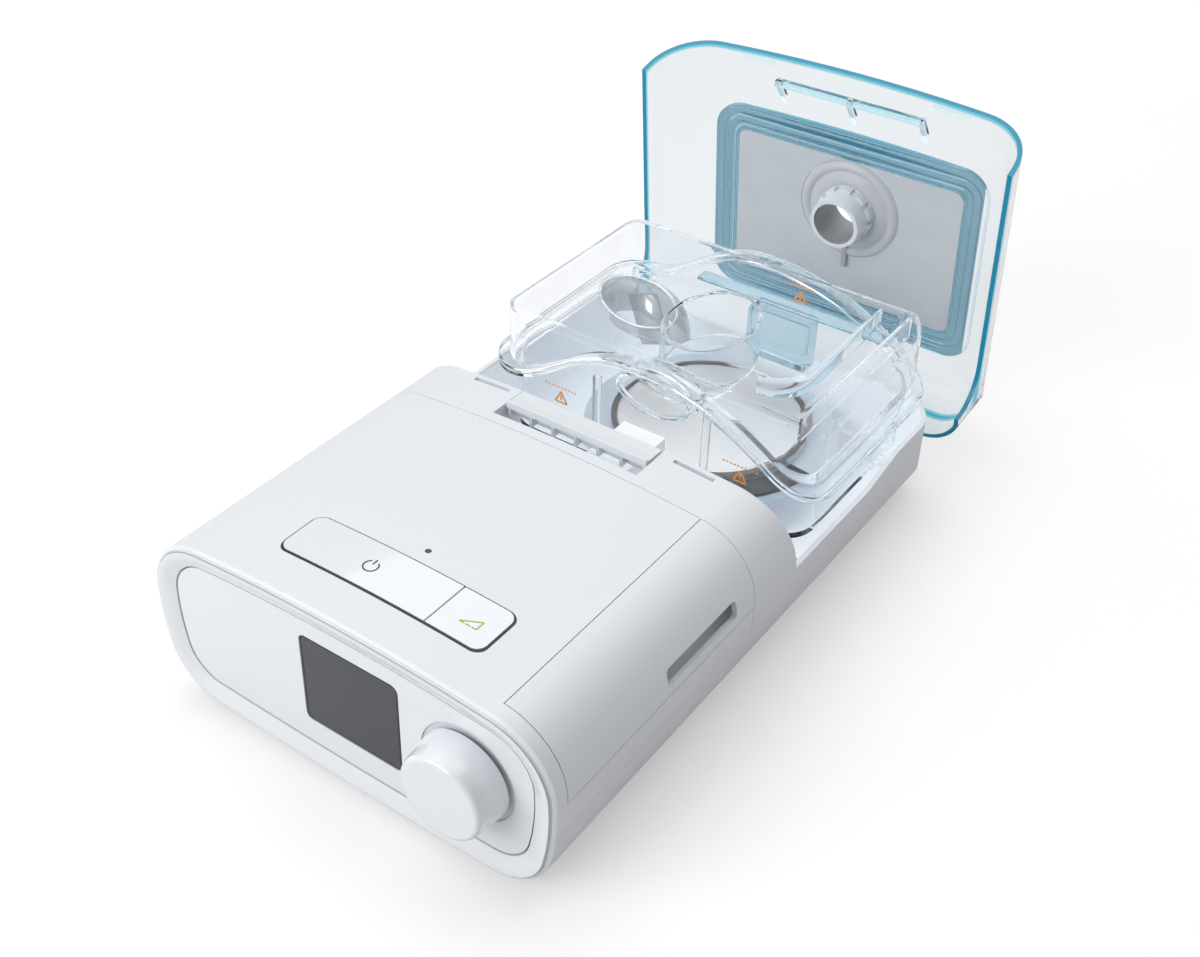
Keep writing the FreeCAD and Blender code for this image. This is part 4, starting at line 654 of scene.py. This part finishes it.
# %% [markdown]
# ## Printed signs
# The keys carry two plain signs: a ring with a bar for power, and a ramp whose base is dashed. Each is a thin
# raised print. The ring is a small square turned through most of a circle with spin, the bars are stretched
# cubes, and both follow the slight crown of the case.

# %% Signs on the keys
CROWN_RADIUS = 760.0
PRINT_HIGH = 0.09
PRINT_LINE = 0.58
KEY_TOP = 84.3


def key_surface(x, y):
    """Matrix of a place on the crowned key tops."""
    height = KEY_TOP - x * x / (2 * CROWN_RADIUS) + PRINT_HIGH / 2
    return Matrix.Translation(spot(x, y, height)) @ Matrix.Rotation(x / CROWN_RADIUS, 4, "Y")


def add_bar(work, start, end, line, high):
    """A thin straight bar between two flat points, in millimetres, about the sign's own middle."""
    run = Vector((end[0] - start[0], end[1] - start[1], 0))
    turn = Matrix.Rotation(math.atan2(run.y, run.x), 4, "Z")
    middle = Matrix.Translation(Vector(((start[0] + end[0]) / 2, (start[1] + end[1]) / 2, 0)) * MM)
    size = Matrix.Diagonal((run.length * MM, line * MM, high * MM, 1))
    bmesh.ops.create_cube(work, size=1, matrix=middle @ turn @ size)


def add_arc(work, radius, line, high, begin, sweep, steps):
    """A flat ring arc: a small square turned about the sign's middle."""
    corners = [work.verts.new(Vector((radius + a * line / 2, 0, b * high / 2)) * MM)
               for a, b in ((-1, -1), (1, -1), (1, 1), (-1, 1))]
    face = work.faces.new(corners)
    bmesh.ops.rotate(work, verts=corners, cent=(0, 0, 0), matrix=Matrix.Rotation(begin, 3, "Z"))
    bmesh.ops.spin(work, geom=[face] + list(face.edges) + corners, cent=(0, 0, 0), axis=(0, 0, 1), angle=sweep,
                   steps=steps)


POWER_SIGN, POWER_RADIUS, POWER_BAR = (-9.6, 31.2), 3.0, (1.0, 3.9)
ARC_START, ARC_SWEEP, ARC_STEPS = math.radians(122), math.radians(296), 40
work = bmesh.new()
add_arc(work, POWER_RADIUS, PRINT_LINE, PRINT_HIGH, ARC_START, ARC_SWEEP, ARC_STEPS)
add_bar(work, (0, POWER_BAR[0]), (0, POWER_BAR[1]), PRINT_LINE, PRINT_HIGH)
bmesh.ops.transform(work, matrix=key_surface(*POWER_SIGN), verts=work.verts)
new_piece(work, "power_sign", "power_key", print_blue, smooth=False)

RAMP_SIGN = (37.8, 30.7)
RAMP_HALF, RAMP_RISE, DASHES, DASH_STEP, DASH = 3.8, 2.2, 3, 2.7, 2.1
work = bmesh.new()
add_bar(work, (RAMP_HALF, -RAMP_RISE), (RAMP_HALF, RAMP_RISE), PRINT_LINE, PRINT_HIGH)
add_bar(work, (-RAMP_HALF, -RAMP_RISE), (RAMP_HALF, RAMP_RISE), PRINT_LINE, PRINT_HIGH)
for number in range(DASHES):
    left = -RAMP_HALF + number * DASH_STEP
    add_bar(work, (left, -RAMP_RISE), (left + DASH, -RAMP_RISE), PRINT_LINE, PRINT_HIGH)
bmesh.ops.transform(work, matrix=key_surface(*RAMP_SIGN), verts=work.verts)
new_piece(work, "ramp_sign", "ramp_key", print_lime, smooth=False)
print("signs printed on both keys")

# %% [markdown]
# ## Painted shadow round the keys
# The keys stand a little proud of the case, and the shadow in their gap looks widest on the sides nearest the eye.
# A flat dark ring paints that shadow into the gap, half sunk in the case, and follows its slight crown.

# %% Painted shadow round the keys
CASE_TOP = 84.0
KEYS_X, KEYS_Y, KEYS_CORNER = (-46.0, 49.2), (20.6, 43.2), 4.2
# Widths of the painted shadow ring in mm, wider on the front and right, the sides nearest the eye.
SHADOW_RING_IN, SHADOW_RING_OUT = 0.12, {"left": 0.4, "right": 1.1, "front": 1.25, "back": 0.3}
SHADOW_RING_HIGH, SHADOW_RING_SINK = 0.5, 0.42

key_low, key_high = spot(KEYS_X[0], KEYS_Y[0], 0), spot(KEYS_X[1], KEYS_Y[1], 0)
work = bmesh.new()
rounded_plate(work, (key_low.x - SHADOW_RING_IN * MM, key_high.x + SHADOW_RING_IN * MM),
              (key_low.y - SHADOW_RING_IN * MM, key_high.y + SHADOW_RING_IN * MM), KEYS_CORNER)
rounded_plate(work, (key_low.x - SHADOW_RING_OUT["left"] * MM, key_high.x + SHADOW_RING_OUT["right"] * MM),
              (key_low.y - SHADOW_RING_OUT["front"] * MM, key_high.y + SHADOW_RING_OUT["back"] * MM), KEYS_CORNER + 0.5)
raised_ring(work, SHADOW_RING_HIGH)
for vert in work.verts:
    across = vert.co.x / MM
    vert.co.z += (CASE_TOP - SHADOW_RING_SINK - across * across / (2 * CROWN_RADIUS)) * MM
# A black ring painted as the shadow in the gap round the keys.
new_piece(work, "key_gap_shadow", "base", deep_black, smooth=False)
print("seam round the keys")

# %% [markdown]
# ## The tank
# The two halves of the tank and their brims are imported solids, so they only need the clear finish and soft
# edges. Inside, the real tank has baffles, a curved duct and level marks, which give it its busy look, and these
# follow one by one. The outlet's hole and ring are thinner to look through, so they bend the light less.

# %% The clear halves
OUTLET, OUTLET_HALF, OUTLET_REACH = (8.0, 237.0), (18.5, 26.0), 1.12


def round_outlet(face):
    """1 for the rim of the oval hole in the cover, which takes the finish of the outlet in it."""
    middle = face.calc_center_median() / MM
    across = (middle.x - OUTLET[0]) / OUTLET_HALF[0]
    along = (middle.y + FACE_TO_ORIGIN - OUTLET[1]) / OUTLET_HALF[1]
    return 1 if math.hypot(across, along) < OUTLET_REACH and abs(face.normal.z) < 0.6 else 0


softened("tank_lower", (clear_tank,), 0.8, 3, flat=True)
softened("tank_cover", (clear_tank, clear_thin), 0.8, 3, choose=round_outlet, flat=True)
softened("tank_mouth", (clear_tank,), 0.6, 3)
softened("tank_outlet", (clear_thin,), 0.6, 3)
paint("tank_seal", clear_tank)
paint("tank_plate", disc_metal)
print("clear halves:", [n for n in DRESSED if n.startswith("tank")])

# %% [markdown]
# ## Ribs and baffles
# Two upright ribs stand on the front wall, a straight and a curved baffle hang from the roof, and a pocket and
# a shelf sit on the rear wall. Cubes with soft edges do for the straight ones. The curved baffle starts as one
# upright edge, drawn straight and then turned through a quarter circle with spin, and Solidify gives it a wall.

# %% Ribs and baffles
def wall_block(name, x, y, z, body, material, width=0.5, turn=None):
    """A small moulded block between (low, high) pairs in millimetres, with soft edges."""
    low, high = spot(x[0], y[0], z[0]), spot(x[1], y[1], z[1])
    work = bmesh.new()
    size = Matrix.Diagonal((*(high - low), 1))
    bmesh.ops.create_cube(work, size=1, matrix=Matrix.Translation((low + high) / 2) @ size)
    return new_piece(work, name, body, material, turn=turn, width=width)


TANK_FRONT_WALL, TANK_BACK_WALL, TANK_ROOF = 191.5, 294.6, 95.3
INTO_WALL = 0.2
FRONT, BACK = TANK_FRONT_WALL + INTO_WALL, TANK_BACK_WALL + INTO_WALL
TANK_BLOCKS = (  # name, x, y and z from low to high, finish, width of the soft edge
    ("tank_post_left", (-22.5, -18.5), (189.3, FRONT), (34.5, 79.5), clear_tank, 0.8),
    ("tank_post_right", (34.0, 37.5), (189.3, FRONT), (34.5, 84.0), clear_tank, 0.8),
    ("side_baffle", (76.0, 77.6), (194.0, 294.0), (84.5, TANK_ROOF), clear_tank, 0.4),
    ("rear_pocket", (1.0, 33.0), (284.0, BACK), (52.0, 78.0), pocket_blue, 1.5),
    ("rear_shelf", (-30.0, 70.0), (287.0, BACK), (80.0, 81.6), pocket_blue, 0.5))
for name, x, y, z, material, width in TANK_BLOCKS:
    wall_block(name, x, y, z, "tank", material, width)

BAFFLE_X, BAFFLE_TURN, BAFFLE_REACH, BAFFLE_BACK = 63.5, 228.0, 17.0, 292
BAFFLE_LOW, BAFFLE_HIGH = 86, TANK_ROOF + 0.15
BAFFLE_WALL = 1.2
work = bmesh.new()
low, high = (work.verts.new(spot(BAFFLE_X, BAFFLE_BACK, z)) for z in (BAFFLE_LOW, BAFFLE_HIGH))
edge = work.edges.new((low, high))
made = bmesh.ops.extrude_edge_only(work, edges=[edge])["geom"]
verts = [v for v in made if isinstance(v, bmesh.types.BMVert)]
bmesh.ops.translate(work, vec=Vector((0, (BAFFLE_TURN - BAFFLE_BACK) * MM, 0)), verts=verts)
edge = next(e for e in made if isinstance(e, bmesh.types.BMEdge))
centre = spot(BAFFLE_X - BAFFLE_REACH, BAFFLE_TURN, 0)
bmesh.ops.spin(work, geom=[edge] + verts, cent=centre, axis=(0, 0, 1), angle=-math.pi / 2, steps=12)


def add_wall(piece, wall):
    """Gives an open sheet a wall, in millimetres, to both sides of it."""
    thick = piece.modifiers.new("wall", "SOLIDIFY")
    thick.thickness = wall * MM
    thick.offset = 0


add_wall(new_piece(work, "curved_baffle", "tank", clear_thin), BAFFLE_WALL)
print("ribs and baffles:", len(TANK_BLOCKS) + 1)

# %% [markdown]
# ## The throat
# A curved passage joins the oval mouth in front to the oval ring on top, and goes from one oval to the other while
# it turns up. One ring of edges is extruded from station to station, so its points stay in step all the way, and a
# subdivision makes the curve even.

# %% The throat between mouth and outlet
THROAT_WALL = 1.2
THROAT_STATIONS = (  # centre, half width and half depth, tilt in degrees
    ((9.0, 202.7, 80.6), (17.6, 8.6), -88),
    ((8.8, 212.6, 78.0), (18.0, 11.5), -60),
    ((8.4, 225.4, 74.5), (18.6, 19.6), -28),
    ((8.0, 237.0, 73.6), (19.3, 26.8), -2))
work = bmesh.new()
places = [Matrix.Translation(spot(*centre)) @ Matrix.Rotation(math.radians(tilt), 4, "X")
          @ Matrix.Diagonal((half[0] * MM, half[1] * MM, 1, 1)) for centre, half, tilt in THROAT_STATIONS]
ring = bmesh.ops.create_circle(work, cap_ends=False, segments=48, radius=1)["verts"]
bmesh.ops.transform(work, matrix=places[0], verts=ring)
edges = work.edges[:]
for before, after in zip(places, places[1:]):
    made = bmesh.ops.extrude_edge_only(work, edges=edges)["geom"]
    ring = {v for v in made if isinstance(v, bmesh.types.BMVert)}
    edges = [e for e in made if isinstance(e, bmesh.types.BMEdge) and set(e.verts) <= ring]
    bmesh.ops.transform(work, matrix=after @ before.inverted(), verts=list(ring))
throat = new_piece(work, "throat", "tank", clear_film)
even = throat.modifiers.new("even_curve", "SUBSURF")
even.levels = even.render_levels = 2
add_wall(throat, THROAT_WALL)
print("throat from", len(places), "ovals")

# %% [markdown]
# ## The curved duct
# The silvery duct at the rear left is an oval tube that bends through about sixty degrees, with a fin across
# it. Spin turns an oval about an axis beside it, which makes the bend in one step. A small tab hangs it from the
# roof.

# %% The curved duct
DUCT_CENTRE = (-40.0, 262.0, 62.0)
DUCT_HALF = (21.0, 11.0)
DUCT_TURN_RADIUS, DUCT_BEND, DUCT_WALL = 22.0, 62, 1.3
FIN_LONG, FIN_SHARE, FIN_UP, FIN_TURN = 26, 0.62, 4, 20
work = bmesh.new()
ring = bmesh.ops.create_circle(work, cap_ends=False, segments=40, radius=1)["verts"]
shape = Matrix.Diagonal((DUCT_HALF[0] * MM, DUCT_HALF[1] * MM, 1, 1))
bmesh.ops.transform(work, matrix=Matrix.Translation(spot(*DUCT_CENTRE)) @ shape, verts=ring)
pivot = spot(DUCT_CENTRE[0], DUCT_CENTRE[1] - DUCT_TURN_RADIUS, DUCT_CENTRE[2])
bmesh.ops.spin(work, geom=list(work.verts) + list(work.edges), cent=pivot, axis=(1, 0, 0),
               angle=math.radians(DUCT_BEND), steps=10)
fin = bmesh.ops.create_grid(work, x_segments=1, y_segments=1, size=0.5)["verts"]
fin_size = Matrix.Diagonal((FIN_LONG * MM, 2 * DUCT_HALF[0] * MM, 1, 1)) @ Matrix.Scale(FIN_SHARE, 4)
fin_stance = Matrix.Rotation(math.pi / 2, 4, "X") @ Matrix.Rotation(math.radians(FIN_TURN), 4, "Z")
fin_place = Matrix.Translation(spot(DUCT_CENTRE[0], DUCT_CENTRE[1], DUCT_CENTRE[2] + FIN_UP))
bmesh.ops.transform(work, matrix=fin_place @ fin_stance @ fin_size, verts=fin)
add_wall(new_piece(work, "curved_duct", "tank", silver_duct), DUCT_WALL)
wall_block("duct_tab", (-46.0, -34.0), (254.0, 256.5), (88.5, TANK_ROOF + 0.15), "tank", clear_thin)
print("curved duct hangs from its tab")

# %% [markdown]
# ## Level marks
# The fill marks are printed in orange on the tank's walls: a dotted line with a small pointed sign under it. They
# are thin bars, half sunk in the wall that carries them.

# %% Level marks
MARK_LINE, MARK_HIGH = 0.75, 0.12
MARK_TOP, DOT = 5.2, 0.9
MARK_SIGN = (((-3.2, -2.6), (3.2, -2.6)), ((3.2, -2.6), (0, 3.0)), ((0, 3.0), (-3.2, -2.6)), ((0, -1.4), (0, 1.2)))
MARK_SINK = 0.05


def level_mark(name, x, y, z, dots=10, reach=18.0):
    """A dotted line with a small pointed sign under it, on an upright wall that faces the front."""
    work = bmesh.new()
    for number in range(dots):
        left = -reach / 2 + reach * number / dots
        add_bar(work, (left, MARK_TOP), (left + DOT, MARK_TOP), MARK_LINE, MARK_HIGH)
    for start, end in MARK_SIGN:
        add_bar(work, start, end, MARK_LINE + 0.1, MARK_HIGH)
    upright = Matrix.Translation(spot(x, y, z)) @ Matrix.Rotation(math.pi / 2, 4, "X")
    bmesh.ops.transform(work, matrix=upright, verts=work.verts)
    new_piece(work, name, "tank", print_orange, smooth=False)


level_mark("level_mark_left", -40.5, TANK_FRONT_WALL - MARK_SINK, 59.3)
level_mark("level_mark_right", 53.3, TANK_FRONT_WALL - MARK_SINK, 57.2)
level_mark("level_mark_back", 21.8, TANK_BACK_WALL - MARK_SINK, 85.2, reach=14.0)
print("level marks on the front and rear walls")

# %% [markdown]
# ## The skirt of the heater
# A dark band shows under the tank at the front right, on the carrier beside the heater's metal plate. One small
# section turned through part of a circle makes it.

# %% The dark skirt of the heater
HEATER = (3.0, 252.5, 28.95)
SKIRT_IN, SKIRT_OUT, SKIRT_HIGH = 48.2, 59.0, 1.6
SKIRT_START, SKIRT_SWEEP = math.radians(-78), math.radians(70)
work = bmesh.new()
corners = [work.verts.new(spot(HEATER[0] + r, HEATER[1], HEATER[2] + h))
           for r, h in ((SKIRT_IN, 0), (SKIRT_OUT, 0), (SKIRT_OUT, SKIRT_HIGH), (SKIRT_IN, SKIRT_HIGH))]
face = work.faces.new(corners)
centre = spot(*HEATER)
bmesh.ops.rotate(work, verts=corners, cent=centre, matrix=Matrix.Rotation(SKIRT_START, 3, "Z"))
bmesh.ops.spin(work, geom=[face] + list(face.edges) + corners, cent=centre, axis=(0, 0, 1), angle=SKIRT_SWEEP,
               steps=24)
new_piece(work, "heater_skirt", "heater", deep_black, smooth=False)
print("skirt beside the heater plate")

# %% [markdown]
# ## The lid
# The lid is one clear moulding with a ribbed frame, a grey pad and a port on its inside. Looking into its free edge
# one sees the colour of the whole wall, and the wall beside it glows with that colour too. A band near the
# planes of the free edges gets that glow as painted light: a tint, by distance, in the shader.

# %% Tint near the free edges
LID_TEAL = (0.05, 0.42, 0.56)
BAND = 2.6


def tint_near_plane(material, points, facing, near):
    """Paints a glow colour into a clear material where it lies within BAND of the planes, given with the lid shut.
    """
    tree = material.node_tree
    shader = tree.nodes["Principled BSDF"]
    place = tree.nodes.new("ShaderNodeTexCoord")
    colour = tree.nodes.new("ShaderNodeMix")
    colour.data_type = "RGBA"
    colour.inputs["A"].default_value = shader.inputs["Base Color"].default_value
    colour.inputs["B"].default_value = (*near, 1)
    last = None
    for point, normal in zip(points, facing):
        away = (OPENED.to_3x3() @ Vector(normal)).normalized()
        level = away.dot(OPENED @ point)
        height = tree.nodes.new("ShaderNodeVectorMath")
        height.operation = "DOT_PRODUCT"
        height.inputs[1].default_value = away
        offset = tree.nodes.new("ShaderNodeMath")
        offset.operation = "SUBTRACT"
        offset.inputs[1].default_value = level
        distance = tree.nodes.new("ShaderNodeMath")
        distance.operation = "ABSOLUTE"
        tree.links.new(height.outputs["Value"], offset.inputs[0])
        tree.links.new(offset.outputs[0], distance.inputs[0])
        band = tree.nodes.new("ShaderNodeMapRange")
        band.interpolation_type = "SMOOTHSTEP"
        band.inputs["From Min"].default_value = BAND * 0.45 * MM
        band.inputs["From Max"].default_value = BAND * MM
        band.inputs["To Min"].default_value = 1.0
        band.inputs["To Max"].default_value = 0.0
        tree.links.new(place.outputs["Object"], height.inputs[0])
        tree.links.new(distance.outputs[0], band.inputs["Value"])
        if last:
            most = tree.nodes.new("ShaderNodeMath")
            most.operation = "MAXIMUM"
            tree.links.new(last, most.inputs[0])
            tree.links.new(band.outputs["Result"], most.inputs[1])
            last = most.outputs[0]
        else:
            last = band.outputs["Result"]
    tree.links.new(last, colour.inputs["Factor"])
    tree.links.new(colour.outputs["Result"], shader.inputs["Base Color"])


print("tint reaches", BAND, "mm from a free edge")

# %% [markdown]
# ## Walls, edges and frame of the lid
# With the lid turned shut its rim is level and its front edge is a straight slope, so both are easy to find.
# Those narrow faces take the strongest tint and a faint painted glow. The bar and its catches near the front are
# clear blue. On the frame the steep sides of the ribs look deeper in colour, and their crests get the lighter clear
# finish as a painted highlight.

# %% Free edges of the lid
BODY_TOP, RIM = 84.0, 47.0
BRIDGE_TOP, BRIDGE_SIDE = 157.0, 165.0
LID_INNER_BACK, ROOF_INSIDE, LOW_EDGE = 306.0, 79.0, 31.5
CATCH_Y, CATCH_Z = (160.3, 162.9), (78, 90)
BAR_HALF, BAR_Y = 75, (160, 182)
PAD_FACE = 77.5


def on_free_edge(face):
    """1 for the narrow faces along the lid's rim, 2 for its bar and catches, 0 for its walls."""
    middle = SHUT @ face.calc_center_median() / MM
    facing = SHUT.to_3x3() @ face.normal
    y, z = middle.y + FACE_TO_ORIGIN, middle.z
    if abs(facing.x) > 0.3:
        return 0
    slope = (BRIDGE_SIDE - BRIDGE_TOP) / (BODY_TOP - RIM)
    front = abs(y - 0.5 - BRIDGE_TOP - (BODY_TOP - z) * slope) < 0.5 and facing.y < -0.5
    under = z < RIM + 0.7 and y < LID_INNER_BACK and (facing.z < -0.3 or facing.y < -0.3)
    low = z < LOW_EDGE and facing.z < -0.7
    if front or under or low:
        return 1
    catch = CATCH_Y[0] < y < CATCH_Y[1] and CATCH_Z[0] < z < CATCH_Z[1] and abs(facing.z) < 0.5
    bar = abs(middle.x) < BAR_HALF and BAR_Y[0] < y < BAR_Y[1] and BODY_TOP - 20 < z < ROOF_INSIDE
    return 2 if bar or catch else 0


# Teal painted near the rim and the front edge as the glow of that light.
tint_near_plane(clear_lid, (spot(0, 200, RIM), spot(0, BRIDGE_TOP + 0.5, BODY_TOP)),
                ((0, 0, 1), (0, BODY_TOP - RIM, BRIDGE_SIDE - BRIDGE_TOP)), LID_TEAL)
softened("lid_shell", (clear_lid, lid_edge, clear_bar), 0.4, 3, choose=on_free_edge, flat=True)


def on_frame_rib(face):
    """1 for the steep sides of the ribs, which look deeper in colour, and 2 for their crests, painted lighter as a
    highlight.
    """
    middle = SHUT @ face.calc_center_median() / MM
    if abs((SHUT.to_3x3() @ face.normal).z) < 0.5:
        return 1
    return 2 if middle.z > PAD_FACE + 1.5 else 0


# The crests of the ribs take the lighter clear finish as a painted highlight.
softened("lid_frame", (frame_blue, frame_rib, clear_bar), 0.35, choose=on_frame_rib)
softened("lid_pad", (pad_grey,), 0.2)
print("lid pieces:", [n for n in DRESSED if n.startswith("lid")])

# %% [markdown]
# ## Beads on the frame
# Four rounded lines run round the frame. Each is a plate with rounded corners, inset to a narrow ring and raised.

# %% Beads on the frame
PANEL_X, PANEL_Y, PANEL_HALF = 3.75, (187.5, 295.0), 74.75
BEADS = ((0.3, 1.5), (4.3, 1.2), (8.2, 1.2), (11.6, 1.3))  # inset and width
BEAD_RISE, BEAD_SINK = 1.0, 0.05
PANEL_CORNER, CORNER_LOSS = 14.2, 0.75  # a corner loses this share of the inset


def frame_bead(inset, width):
    """A closed raised ring on the frame: a plate with rounded corners, inset to a ring and given height."""
    work = bmesh.new()
    bmesh.ops.create_grid(work, x_segments=1, y_segments=1, size=0.5)
    wide, deep = 2 * (PANEL_HALF - inset), PANEL_Y[1] - PANEL_Y[0] - 2 * inset
    bmesh.ops.transform(work, matrix=Matrix.Diagonal((wide * MM, deep * MM, 1, 1)), verts=work.verts)
    bmesh.ops.bevel(work, geom=work.verts[:], offset=(PANEL_CORNER - inset * CORNER_LOSS) * MM,
                    affect="VERTICES", segments=10, profile=0.5, material=-1)
    bmesh.ops.inset_region(work, faces=work.faces[:], thickness=width * MM, use_boundary=True,
                           use_even_offset=True)
    inner = max(work.faces, key=lambda f: len(f.verts))
    bmesh.ops.delete(work, geom=[inner], context="FACES_ONLY")
    made = bmesh.ops.extrude_face_region(work, geom=work.faces[:])["geom"]
    top = [v for v in made if isinstance(v, bmesh.types.BMVert)]
    bmesh.ops.translate(work, vec=(0, 0, BEAD_RISE * MM), verts=top)
    place = Matrix.Translation(spot(PANEL_X, sum(PANEL_Y) / 2, PAD_FACE + BEAD_SINK - BEAD_RISE))
    bmesh.ops.transform(work, matrix=place, verts=work.verts)
    return work


for number, sizes in enumerate(BEADS, 1):
    new_piece(frame_bead(*sizes), "frame_bead_%d" % number, "lid", bead_clear, turn=OPENED,
              width=0.35)
print("beads on the frame:", len(BEADS))

# %% [markdown]
# ## The port and its seal
# The seal is a soft ring with two folds. Its section is drawn once and spun through a full circle. When the lid
# shuts, the seal meets the tank and gives way, but here it keeps its drawn shape. The port itself is a imported
# piece that takes a grey finish in its bore, and a small clip holds it to the pad.

# %% The soft seal round the port
PORT = (6.5, 228.0)
work = bmesh.new()
profile = [(13.1, 80.4), (13.1, 76.4), (14.5, 75.4), (16.5, 75.1), (19.0, 75.7), (20.6, 76.8), (21.4, 77.0),
           (22.4, 76.0), (24.0, 75.6), (25.6, 76.2), (26.7, 77.6), (26.7, 80.4)]
points = [work.verts.new(spot(PORT[0] + r, PORT[1], z)) for r, z in profile]
edges = [work.edges.new((points[n], points[(n + 1) % len(points)])) for n in range(len(points))]
bmesh.ops.spin(work, geom=points + edges, cent=spot(*PORT, 0), axis=(0, 0, 1), angle=2 * math.pi, steps=72,
               use_merge=True)
seal = new_piece(work, "port_seal", "lid", seal_grey, turn=OPENED)
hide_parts("lid_seal")
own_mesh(seal)
print("seal spun from", len(profile), "points")

# %% The port
BORE_REACH = 11.6
CLIP_X, CLIP_Y, CLIP_LOW = (5.2, 7.8), (PORT[1] + 14.0, PORT[1] + 33.0), 75.2


def inside_port(face):
    """The second finish is for the bore."""
    middle = SHUT @ face.calc_center_median() - spot(*PORT, 0)
    return 1 if math.hypot(middle.x, middle.y) < BORE_REACH * MM else 0


softened("lid_port", (port_white, port_grey), 0.35, choose=inside_port)
wall_block("port_clip", CLIP_X, CLIP_Y, (CLIP_LOW, PAD_FACE + INTO_WALL), "lid", soft_grey, 0.4,
           turn=OPENED)
print("port and clip in place")

# %% [markdown]
# ## Finish
# The box round the finished machine is printed, in millimetres. The box round the finished machine has to stay
# within the box it was packed with.

# %% Print the box round the finished machine
low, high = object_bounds()
print("visual box in mm", [round(v * 1000, 1) for v in (*low, *high)])
